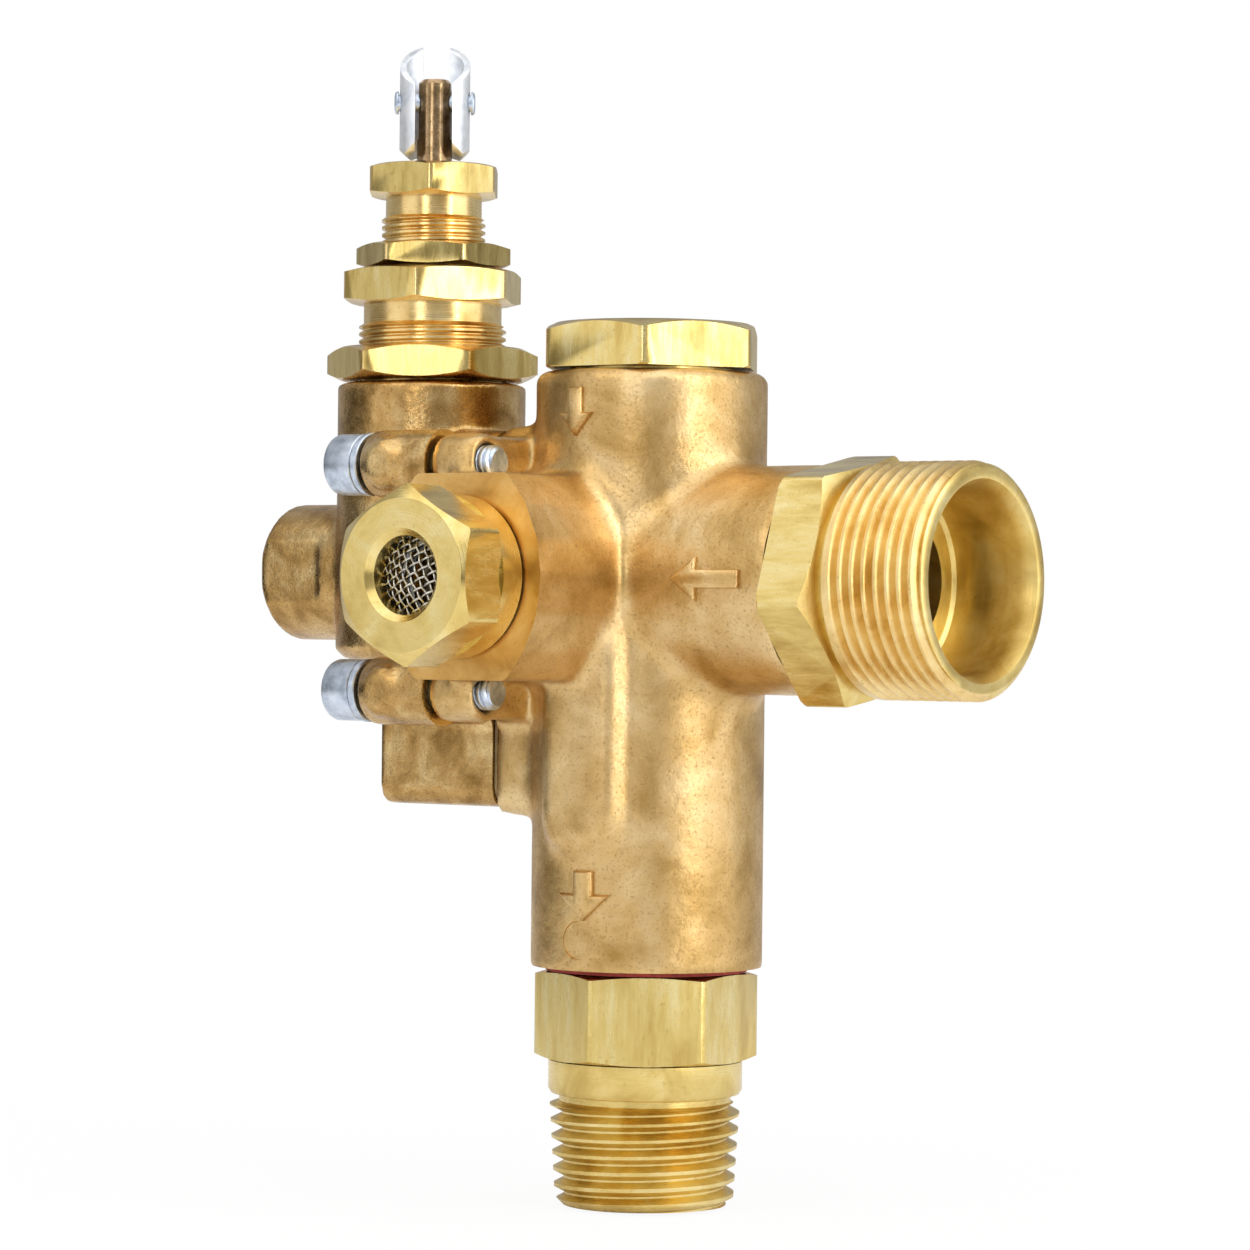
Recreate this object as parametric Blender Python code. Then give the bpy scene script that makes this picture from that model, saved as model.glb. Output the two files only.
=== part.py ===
"""Discharge unloader and check valve of a petrol-engine air compressor, modelled piece by piece.

Metres, +Z up. The origin is the centre of the outlet nipple's lower end. +X points out of the
inlet port, -Y out of the exhaust port, and the pilot valve is bolted on at -X.
"""

import math

import bpy
import bmesh
from mathutils import Matrix, Vector

MM = 0.001

# Clearances
JOINT_GAP = 0.3 * MM
THREAD_GAP = 0.3 * MM
SLIDE_GAP = 0.3 * MM
THIN_GAP = 0.15 * MM
PASSAGE_OVERLAP = 0.7 * MM
CUTTER_MARGIN = 1.5 * MM
FACE_CUT_DEPTH = 8.0 * MM
FILLET_SINK = 0.2 * MM
WEB_INSET = 0.35 * MM

# Forged main body
COLUMN_R = 13.1 * MM
COLUMN_ABOVE_PORT = 23.4 * MM
PORT_AXIS_TO_COLUMN_FOOT = 43.5 * MM
RIM_ROUND = 1.3 * MM
COLUMN_FOOT_CHAMFER = 0.5 * MM
INLET_BRANCH_R = 12.75 * MM
INLET_FACE_X = 24.0 * MM
INLET_BRANCH_CHAMFER = 0.6 * MM
EXHAUST_AXIS_X = -5.65 * MM
EXHAUST_FACE_Y = -27.4 * MM
EXHAUST_BRANCH_WIDTH = 22.1 * MM
EXHAUST_BRANCH_HEIGHT = 22.6 * MM
EXHAUST_BRANCH_FLAT = 12.5 * MM
FORGING_FILLET = 2.2 * MM
EJECTOR_MARK_R = 2.1 * MM
EJECTOR_MARK_DEPTH = 0.45 * MM
EJECTOR_MARK_RISE = 3.4 * MM
EJECTOR_MARK_TURN = 0.0
PASSAGE_PAD_WIDTH = 11.0 * MM
PASSAGE_PAD_PROUD = 1.3 * MM
PASSAGE_PAD_LOW = 31.6 * MM
PASSAGE_PAD_ROUND = 2.4 * MM
CHECK_SOCKET_R = 9.3 * MM
CHECK_SOCKET_DEPTH = 10.5 * MM
MAIN_PASSAGE_R = 4.5 * MM
PLUG_SOCKET_R = 10.0 * MM
PLUG_SOCKET_DEPTH = 8.0 * MM
INLET_SOCKET_R = 9.6 * MM
INLET_SOCKET_DEPTH = 9.5 * MM
INLET_PASSAGE_R = 6.5 * MM
EXHAUST_SOCKET_R = 7.3 * MM
EXHAUST_SOCKET_DEPTH = 10.4 * MM
UNLOADER_SEAT_R = 4.0 * MM
UNLOADER_PASSAGE_DEPTH = 18.5 * MM
GUIDE_LENGTH = 9.0 * MM
PILOT_DRILLING_R = 1.2 * MM

# Bolted joint between the pilot valve and the main body
INTERFACE_X = -15.8 * MM
GASKET_THICKNESS = 0.4 * MM
GASKET_GAP = 0.1 * MM
SCREW_PITCH_Y = 34.2 * MM
SCREW_PITCH_Z = 25.6 * MM
BODY_EAR_R = 3.4 * MM
BODY_EAR_LENGTH = 6.0 * MM
PILOT_EAR_R = 3.9 * MM
PILOT_EAR_LENGTH = 10.0 * MM
EAR_BULGE_PLACE = 3.6 * MM
EAR_BULGE_R = 3.1 * MM
EAR_BULGE_PROUD = 0.35 * MM
EAR_FACET_R = 1.9 * MM
BODY_PAD_HALF_Y = 8.0 * MM
BODY_PAD_TOP = 17.4 * MM
BODY_PAD_LOW = 26.9 * MM
PAD_ROUND = 2.0 * MM
EAR_END_ROUND = 1.2 * MM
SCREW_R = 1.95 * MM
SCREW_HOLE_R = 2.25 * MM
SCREW_HEAD_R = 3.5 * MM
SCREW_HEAD_LENGTH = 4.0 * MM
SCREW_SOCKET_AF = 3.0 * MM
SCREW_SOCKET_DEPTH = 2.0 * MM
SCREW_TIP_PROUD = 1.3 * MM
WASHER_R = 3.6 * MM
WASHER_THICKNESS = 0.9 * MM
WASHER_SPLIT = 0.8 * MM
WASHER_TURN = 35.0

# Top plug
TOP_HEX_AF = 22.9 * MM
TOP_HEX_HEIGHT = 5.2 * MM
TOP_HEX_TURN = 1.4
TOP_SPIGOT_LENGTH = 7.0 * MM
NECK_DEPTH = 0.4 * MM

# Inset of a hexagon's turned face inside its flats
HEX_FACE_INSET = 0.3 * MM

# Outlet nipple
OUTLET_HEX_AF = 22.0 * MM
OUTLET_HEX_HEIGHT = 10.1 * MM
OUTLET_HEX_TURN = 36.4
OUTLET_COLLAR_R = 10.95 * MM
OUTLET_COLLAR_HEIGHT = 3.7 * MM
OUTLET_THREAD_R = 10.75 * MM
OUTLET_THREAD_END_R = 10.1 * MM
OUTLET_THREAD_LENGTH = 12.6 * MM
OUTLET_THREAD_PITCH = 1.814 * MM
OUTLET_THREAD_DEPTH = 1.2 * MM
OUTLET_BORE_R = 6.0 * MM
CHECK_CHAMBER_R = 7.0 * MM
CHECK_CHAMBER_DEPTH = 22.0 * MM
OUTLET_SPIGOT_LENGTH = 9.6 * MM
GASKET_RING_HEIGHT = 0.5 * MM
GASKET_RING_R = 11.4 * MM

# Check valve inside the nipple
CHECK_DISC_R = 6.1 * MM
CHECK_DISC_THICKNESS = 2.6 * MM
CHECK_SEAL_THICKNESS = 1.2 * MM
CHECK_STEM_R = 2.4 * MM
CHECK_STEM_LENGTH = 8.0 * MM
CHECK_SPRING_WIRE_R = 0.4 * MM
CHECK_SPRING_TURNS = 4

# Inlet adapter
INLET_HEX_AF = 25.4 * MM
INLET_HEX_LENGTH = 6.5 * MM
INLET_HEX_TURN = 41.0
INLET_NECK_R = 11.8 * MM
INLET_NECK_LENGTH = 0.8 * MM
INLET_THREAD_R = 13.0 * MM
INLET_THREAD_LENGTH = 12.8 * MM
INLET_THREAD_PITCH = 1.5 * MM
INLET_THREAD_DEPTH = 0.9 * MM
INLET_MOUTH_R = 10.3 * MM
INLET_MOUTH_DEPTH = 10.4 * MM
INLET_LIP_R = 7.6 * MM
INLET_LIP_HEIGHT = 0.8 * MM
INLET_SPIGOT_LENGTH = 8.5 * MM

# Exhaust fitting
EXHAUST_HEX_AF = 17.3 * MM
EXHAUST_HEX_LENGTH = 6.5 * MM
EXHAUST_COLLAR_R = 8.95 * MM
EXHAUST_COLLAR_LENGTH = 3.5 * MM
EXHAUST_SPIGOT_LENGTH = 6.0 * MM
EXHAUST_MOUTH_R = 4.3 * MM
EXHAUST_MOUTH_DEPTH = 2.6 * MM
EXHAUST_CHAMBER_R = 5.5 * MM
SCREEN_WIRE = 0.35 * MM
SCREEN_PITCH = 1.15 * MM
SCREEN_DOME = 1.3 * MM
SCREEN_RIM_WIDTH = 0.9 * MM
SCREEN_RIM_THICKNESS = 0.5 * MM
SCREEN_TURN = 25.0

# Unloader poppet behind the exhaust fitting
POPPET_R = 5.0 * MM
POPPET_LIFT = 2.0 * MM
POPPET_THICKNESS = 1.8 * MM
POPPET_SEAL_THICKNESS = 1.0 * MM
POPPET_SEAL_HOLE_R = 2.6 * MM
POPPET_STEM_R = 1.9 * MM
POPPET_HUB_R = 2.3 * MM
POPPET_HUB_LENGTH = 2.5 * MM
UNLOADER_SPRING_R = 4.4 * MM
UNLOADER_SPRING_WIRE_R = 0.35 * MM
UNLOADER_SPRING_TURNS = 4

# Pilot valve body
PILOT_AXIS_X = -31.9 * MM
PILOT_TUBE_R = 11.0 * MM
PILOT_TUBE_TOP = 22.8 * MM
PILOT_TUBE_FOOT = 9.5 * MM
PILOT_FOOT_ROUND = 2.0 * MM
PILOT_BRIDGE_HALF_Y = 8.5 * MM
PILOT_BRIDGE_TOP = 16.9 * MM
PILOT_BRIDGE_ROUND = 2.5 * MM
PILOT_BRIDGE_RISE = 0.3 * MM
SENSE_PORT_R = 8.05 * MM
SENSE_PORT_FACE_X = -52.0 * MM
SENSE_PORT_RISE = 0.8 * MM
SENSE_PORT_FLATS = 14.2 * MM
SENSE_PORT_FLAT_LENGTH = 9.5 * MM
SENSE_BORE_R = 5.2 * MM
SENSE_BORE_DEPTH = 9.0 * MM
SIGNAL_PORT_FACE_X = -32.6 * MM
SIGNAL_PORT_HALF_Y = 8.0 * MM
SIGNAL_PORT_LOW = 26.0 * MM
SIGNAL_PORT_HEIGHT = 17.5 * MM
SIGNAL_PORT_ROUND = 2.0 * MM
SIGNAL_BORE_R = 4.4 * MM
SIGNAL_BORE_DEPTH = 9.0 * MM
SIGNAL_DRILLING_R = 1.5 * MM
PILOT_THREAD_BORE_DEPTH = 10.5 * MM
PILOT_CHAMBER_R = 6.4 * MM
PILOT_CHAMBER_DEPTH = 16.0 * MM
SEAT_POCKET_R = 4.3 * MM
SEAT_POCKET_DEPTH = 3.0 * MM
SENSE_DRILLING_R = 2.0 * MM

# Pilot valve seat, ball, stem and spring
SEAT_R = 4.0 * MM
SEAT_HEIGHT = 2.8 * MM
SEAT_HOLE_R = 1.5 * MM
BALL_R = 2.4 * MM
BALL_LIFT = 1.0 * MM
STEM_R = 2.05 * MM
STEM_ABOVE_PIN = 2.7 * MM
STEM_CHAMFER = 0.5 * MM
STEM_FLATS = 3.7 * MM
STEM_FLAT_LENGTH = 7.0 * MM
STEM_LIFT = 1.5 * MM
SPRING_SEAT_R = 5.6 * MM
SPRING_SEAT_HEIGHT = 1.6 * MM
SPRING_SEAT_HUB_R = 3.2 * MM
SPRING_SEAT_HUB_HEIGHT = 1.6 * MM
PILOT_SPRING_R = 4.7 * MM
PILOT_SPRING_WIRE_R = 0.6 * MM
PILOT_SPRING_TURNS = 4

# Pilot valve's adjusting screws and locknuts
LOWER_NUT_AF = 21.8 * MM
LOWER_NUT_HEIGHT = 3.9 * MM
LOWER_NUT_TURN = 28.8
PRESSURE_SCREW_R = 8.6 * MM
PRESSURE_SHOULDER_R = 8.05 * MM
PRESSURE_SHOULDER_HEIGHT = 3.4 * MM
PRESSURE_HEX_AF = 19.05 * MM
PRESSURE_HEX_LOW = 32.1 * MM
PRESSURE_HEX_HEIGHT = 4.0 * MM
PRESSURE_HEX_TURN = 58.0
PRESSURE_SCREW_ENGAGED = 9.0 * MM
UPPER_NUT_AF = 15.9 * MM
UPPER_NUT_HEIGHT = 2.7 * MM
UPPER_NUT_TURN = 31.4
DIFFERENTIAL_R = 6.05 * MM
DIFFERENTIAL_SHOULDER_R = 5.6 * MM
DIFFERENTIAL_SHOULDER_HEIGHT = 1.8 * MM
DIFFERENTIAL_HEX_AF = 14.5 * MM
DIFFERENTIAL_HEX_LOW = 44.6 * MM
DIFFERENTIAL_HEX_HEIGHT = 3.75 * MM
DIFFERENTIAL_HEX_TURN = 65.4
DIFFERENTIAL_ENGAGED = 9.5 * MM

# Toggle lever and its pin
TOGGLE_TURN = 36.4
TOGGLE_R = 4.1 * MM
TOGGLE_WALL = 0.75 * MM
TOGGLE_SEAT_GAP = 0.55 * MM
TOGGLE_FOOT = 6.8 * MM
TOGGLE_CAM_R = 4.1 * MM
TOGGLE_TIP = 7.3 * MM
TOGGLE_TIP_SLOPE = 0.72
TOGGLE_FRONT_SLOT = 4.9 * MM
TOGGLE_BACK_SLOT = 3.2 * MM
TOGGLE_FOOT_WIDTH = 5.0 * MM
TOGGLE_FOOT_CORNER = 2.1 * MM
PIN_R = 1.0 * MM
PIN_HEAD_R = 1.35 * MM
PIN_HEAD_HEIGHT = 0.45 * MM

# Smoothness of round pieces
LARGE_STEPS = 30
MEDIUM_STEPS = 18
SMALL_STEPS = 10
COIL_STEPS = 10
THREAD_STEPS = 20
FLAT_STEPS = 4
ARC_STEPS = 6
EDGE_STEPS = 3
SHARP_ANGLE = math.radians(32)

# Turn that keeps the groove's corners off the blank's own edges
THREAD_PHASE = math.radians(2.3)

# Groove of the modelled threads, as shares of the pitch at its mouth and root
THREAD_MOUTH = 0.84
THREAD_ROOT = 0.12
THREAD_CUTTER_PROUD = 0.25 * MM

# Springs: closed turns at each end, and the rise per closed turn in wire radii
COIL_CLOSED_TURNS = 0.75
COIL_END_PITCH = 2.15

# Pieces whose many crossing cuts the exact solver leaves open
MANY_CROSSINGS = {"main_body", "pilot_body", "inlet_adapter", "toggle_lever"}

# Heights and lengths that follow from the sizes above
COLUMN_FOOT_Z = OUTLET_THREAD_LENGTH + OUTLET_COLLAR_HEIGHT + OUTLET_HEX_HEIGHT + GASKET_RING_HEIGHT
PORT_Z = COLUMN_FOOT_Z + PORT_AXIS_TO_COLUMN_FOOT
COLUMN_TOP_Z = PORT_Z + COLUMN_ABOVE_PORT
BODY_FACE_X = INTERFACE_X + GASKET_THICKNESS / 2 + GASKET_GAP
PILOT_FACE_X = INTERFACE_X - GASKET_THICKNESS / 2 - GASKET_GAP
PILOT_TOP_Z = PORT_Z + PILOT_TUBE_TOP
SENSE_Z = PORT_Z + SENSE_PORT_RISE
DIFFERENTIAL_TOP = DIFFERENTIAL_HEX_LOW + DIFFERENTIAL_HEX_HEIGHT
TOGGLE_PIVOT_Z = DIFFERENTIAL_TOP + TOGGLE_SEAT_GAP + TOGGLE_FOOT
STEM_TOP = TOGGLE_PIVOT_Z + STEM_ABOVE_PIN
SEAT_PLANE_Y = EXHAUST_FACE_Y + EXHAUST_SOCKET_DEPTH
SCREW_PLACES = [(sy * SCREW_PITCH_Y / 2, PORT_Z + sz * SCREW_PITCH_Z / 2)
                for sy, sz in ((-1, 1), (-1, -1), (1, 1), (1, -1))]
SCREW_NAMES = ["front_upper", "front_lower", "rear_upper", "rear_lower"]
ALONG_X = Vector((1, 0, 0))
ALONG_Y = Vector((0, 1, 0))
ALONG_Z = Vector((0, 0, 1))


def clear_scene():
    for item in list(bpy.data.objects):
        bpy.data.objects.remove(item, do_unlink=True)


def make_material(name, colour, roughness, metallic):
    material = bpy.data.materials.new(name)
    material.use_nodes = True
    shader = material.node_tree.nodes["Principled BSDF"]
    shader.inputs["Base Color"].default_value = (*colour, 1.0)
    shader.inputs["Roughness"].default_value = roughness
    shader.inputs["Metallic"].default_value = metallic
    return material


def frame_at(origin, direction=ALONG_Z, turn=0.0):
    """Matrix that carries local +Z to the direction, after a turn in degrees about it."""
    tilt = ALONG_Z.rotation_difference(direction).to_matrix().to_4x4()
    return Matrix.Translation(origin) @ tilt @ Matrix.Rotation(math.radians(turn), 4, "Z")


def add_object(name, mesh, material=None, placement=None):
    item = bpy.data.objects.new(name, mesh)
    bpy.context.scene.collection.objects.link(item)
    if material is not None and not mesh.materials:
        mesh.materials.append(material)
    if placement is not None:
        item.matrix_world = placement
    return item


def finished_mesh(name, bm):
    bmesh.ops.remove_doubles(bm, verts=bm.verts, dist=1e-7)
    bmesh.ops.recalc_face_normals(bm, faces=bm.faces)
    mesh = bpy.data.meshes.new(name)
    bm.to_mesh(mesh)
    bm.free()
    mesh.shade_smooth()
    mesh.set_sharp_from_angle(angle=SHARP_ANGLE)
    return mesh


def turned_mesh(name, profile, steps=LARGE_STEPS):
    """Solid of revolution about local Z. The profile is (radius, height) points; one that
    starts and ends off the axis is a closed ring."""
    bm = bmesh.new()
    points = [bm.verts.new((radius, 0, height)) for radius, height in profile]
    edges = [bm.edges.new(pair) for pair in zip(points, points[1:])]
    if profile[0][0] > 0:
        edges.append(bm.edges.new((points[-1], points[0])))
    bmesh.ops.spin(bm, geom=points + edges, cent=(0, 0, 0), axis=(0, 0, 1),
                   angle=math.tau, steps=steps, use_merge=True)
    return finished_mesh(name, bm)


def prism_mesh(name, outline, low, high):
    """Outline in local X and Y, extruded from low to high."""
    bm = bmesh.new()
    face = bm.faces.new([bm.verts.new((x, y, low)) for x, y in outline])
    moved = bmesh.ops.extrude_face_region(bm, geom=[face])
    risen = [v for v in moved["geom"] if isinstance(v, bmesh.types.BMVert)]
    bmesh.ops.translate(bm, verts=risen, vec=(0, 0, high - low))
    return finished_mesh(name, bm)


def block_mesh(name, low, high, round_r=0.0, round_along=None, segments=EDGE_STEPS):
    """Block between two corners; edges along the given axes can be rounded."""
    bm = bmesh.new()
    bmesh.ops.create_cube(bm, size=1.0)
    size = [b - a for a, b in zip(low, high)]
    bmesh.ops.scale(bm, vec=size, verts=bm.verts)
    bmesh.ops.translate(bm, vec=[(a + b) / 2 for a, b in zip(low, high)], verts=bm.verts)
    if round_r > 0:
        edges = []
        for edge in bm.edges:
            run = (edge.verts[1].co - edge.verts[0].co).normalized()
            if any(abs(run[axis]) > 0.9 for axis in round_along):
                edges.append(edge)
        bmesh.ops.bevel(bm, geom=edges, offset=round_r, segments=segments, profile=0.5,
                        affect="EDGES", material=-1)
    return finished_mesh(name, bm)


def hexagon(across_flats, grow=0.0):
    corner = (across_flats + grow) / 2 / math.cos(math.pi / 6)
    return [(corner * math.cos(k * math.pi / 3), corner * math.sin(k * math.pi / 3))
            for k in range(6)]


def hex_sleeve_mesh(name, across_flats, low, high, reach):
    """Hexagonal sleeve that trims a turned blank to its wrench flats."""
    bm = bmesh.new()
    rings = []
    for height in (low, high):
        for flats in (across_flats, across_flats + reach):
            rings.append([bm.verts.new((x, y, height)) for x, y in hexagon(flats)])
    inner_low, outer_low, inner_high, outer_high = rings
    for first, second in ((inner_low, outer_low), (outer_low, outer_high),
                          (outer_high, inner_high), (inner_high, inner_low)):
        for k in range(6):
            j = (k + 1) % 6
            bm.faces.new((first[k], first[j], second[j], second[k]))
    return finished_mesh(name, bm)


def combine(target, mesh, operation, placement=None):
    """Adds a helper solid to a piece as a Boolean that stays live on it."""
    helper = add_object(f"{target.name}_{mesh.name}", mesh, placement=placement)
    helper.hide_render = True
    helper.display_type = "WIRE"
    helper.hide_set(True)
    modifier = target.modifiers.new(mesh.name, "BOOLEAN")
    modifier.operation = operation
    modifier.solver = "MANIFOLD" if target.name in MANY_CROSSINGS else "EXACT"
    modifier.object = helper
    return helper


def unite(target, mesh, placement=None):
    return combine(target, mesh, "UNION", placement)


def cut(target, mesh, placement=None):
    return combine(target, mesh, "DIFFERENCE", placement)


def keep_within(target, mesh, placement=None):
    return combine(target, mesh, "INTERSECT", placement)


def thread_groove_mesh(name, low_r, high_r, low, high, pitch, depth):
    """Helical V-groove that turns a plain blank into a screw thread; unlike radii taper it."""
    half_mouth = THREAD_MOUTH * pitch / 2
    half_root = THREAD_ROOT * pitch / 2
    outside = THREAD_CUTTER_PROUD
    flare = min(half_mouth + outside * (half_mouth - half_root) / depth, 0.49 * pitch)
    bm = bmesh.new()
    corners = [(outside, -flare), (-depth, -half_root), (-depth, half_root), (outside, flare)]
    face = bm.faces.new([bm.verts.new((low_r + x, 0, low + z)) for x, z in corners])
    count = int(THREAD_STEPS * (high - low) / pitch)
    bmesh.ops.spin(bm, geom=[face], cent=(0, 0, 0), axis=(0, 0, 1),
                   angle=math.tau * count / THREAD_STEPS, dvec=(0, 0, pitch / THREAD_STEPS),
                   steps=count, use_merge=False)
    for vert in bm.verts:
        share = (vert.co.z - low) / (high - low)
        grow = 1 + (high_r - low_r) * share / low_r
        vert.co.x *= grow
        vert.co.y *= grow
    return finished_mesh(name, bm)


def rod_mesh(name, radius, low, high, steps=LARGE_STEPS, chamfer=0.0):
    profile = [(0, high), (radius - chamfer, high), (radius, high - chamfer),
               (radius, low + chamfer), (radius - chamfer, low), (0, low)]
    if chamfer == 0:
        profile = [(0, high), (radius, high), (radius, low), (0, low)]
    return turned_mesh(name, profile, steps)


def coil_object(name, radius, wire_r, turns, low, high, material, placement):
    """Compression spring with closed ends between two heights, as a round wire on a helix."""
    curve = bpy.data.curves.new(name, "CURVE")
    curve.dimensions = "3D"
    curve.bevel_depth = wire_r
    curve.bevel_resolution = 1
    curve.use_fill_caps = True
    total = turns + 2 * COIL_CLOSED_TURNS
    count = int(total * COIL_STEPS) + 1
    spline = curve.splines.new("POLY")
    spline.points.add(count - 1)
    lowest = low + wire_r
    rise = high - low - 2 * wire_r
    end_rise = COIL_END_PITCH * wire_r
    for k in range(count):
        turn = k / COIL_STEPS
        if turn < COIL_CLOSED_TURNS:
            height = end_rise * turn
        elif turn > total - COIL_CLOSED_TURNS:
            height = rise - end_rise * (total - turn)
        else:
            share = (turn - COIL_CLOSED_TURNS) / turns
            height = end_rise + (rise - 2 * end_rise) * share
        angle = math.tau * turn
        spline.points[k].co = (radius * math.cos(angle), radius * math.sin(angle),
                               lowest + height, 1)
    return add_object(name, curve, material, placement)


def flattened_round(width, height, flat, arc_steps=ARC_STEPS):
    """Section of the exhaust branch: flats above and below, bulging sides. Returns points
    and outward normals in the plane (across, up)."""
    sag = (width - flat) / 2
    radius = (sag ** 2 + (height / 2) ** 2) / (2 * sag)
    half_angle = math.asin(height / 2 / radius)
    centre = width / 2 - radius
    points = []
    for side in (1, -1):
        for k in range(arc_steps + 1):
            angle = side * (-half_angle + 2 * half_angle * k / arc_steps)
            normal = (side * math.cos(angle), math.sin(angle))
            points.append(((side * centre + radius * normal[0], radius * normal[1]), normal))
        for k in range(1, FLAT_STEPS):
            across = side * (flat / 2 - flat * k / FLAT_STEPS)
            points.append(((across, side * height / 2), (0.0, float(side))))
    return points


def round_section(radius, steps=LARGE_STEPS):
    return [((radius * math.cos(math.tau * k / steps), radius * math.sin(math.tau * k / steps)),
             (math.cos(math.tau * k / steps), math.sin(math.tau * k / steps)))
            for k in range(steps)]


def fillet_ring_mesh(name, section, outward, offset, height, column_r, fillet, arc_steps=EDGE_STEPS):
    """Ring of concave fillet where a branch of the given section leaves the round column."""
    side = ALONG_Z.cross(outward)
    bm = bmesh.new()
    rings = []
    for (across, up), (n_across, n_up) in section:
        reach = across + offset
        depth = math.sqrt(max(column_r ** 2 - reach ** 2, (0.12 * column_r) ** 2))
        place = outward * depth + side * reach + ALONG_Z * (up + height)
        column_normal = (outward * depth + side * reach).normalized()
        branch_normal = (side * n_across + ALONG_Z * n_up).normalized()
        cosine = max(min(column_normal.dot(branch_normal), 0.995), -0.2)
        centre = place + (column_normal + branch_normal) * fillet / (1 + cosine)
        angle = math.acos(cosine)
        ring = []
        for k in range(arc_steps + 1):
            share = k / arc_steps
            blend = (column_normal * math.sin((1 - share) * angle)
                     + branch_normal * math.sin(share * angle)) / math.sin(angle)
            sink = FILLET_SINK if k in (0, arc_steps) else 0.0
            ring.append(bm.verts.new(centre - blend * (fillet + sink)))
        inward = (column_normal + branch_normal).normalized()
        ring.append(bm.verts.new(place - inward * fillet * 0.8))
        rings.append(ring)
    for first, second in zip(rings, rings[1:] + rings[:1]):
        for k in range(len(first)):
            j = (k + 1) % len(first)
            bm.faces.new((first[k], first[j], second[j], second[k]))
    return finished_mesh(name, bm)


def arched_pad_mesh(name, half_width, reach, proud, rounding):
    """Pad with a half-round end at local +X, standing up along local Z, its top edges rounded."""
    centre = reach - half_width
    outline = [(0, half_width), (0, -half_width)]
    for k in range(2 * ARC_STEPS + 1):
        angle = math.pi * (k / (2 * ARC_STEPS) - 0.5)
        outline.append((centre + half_width * math.cos(angle), half_width * math.sin(angle)))
    bm = bmesh.new()
    lower = bm.faces.new([bm.verts.new((x, y, 0)) for x, y in outline])
    moved = bmesh.ops.extrude_face_region(bm, geom=[lower])
    risen = [v for v in moved["geom"] if isinstance(v, bmesh.types.BMVert)]
    bmesh.ops.translate(bm, verts=risen, vec=(0, 0, proud))
    top_edges = [e for e in bm.edges if all(v in risen for v in e.verts)]
    bmesh.ops.bevel(bm, geom=top_edges, offset=rounding, segments=EDGE_STEPS, profile=0.5,
                    affect="EDGES", material=-1)
    return finished_mesh(name, bm)


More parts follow.
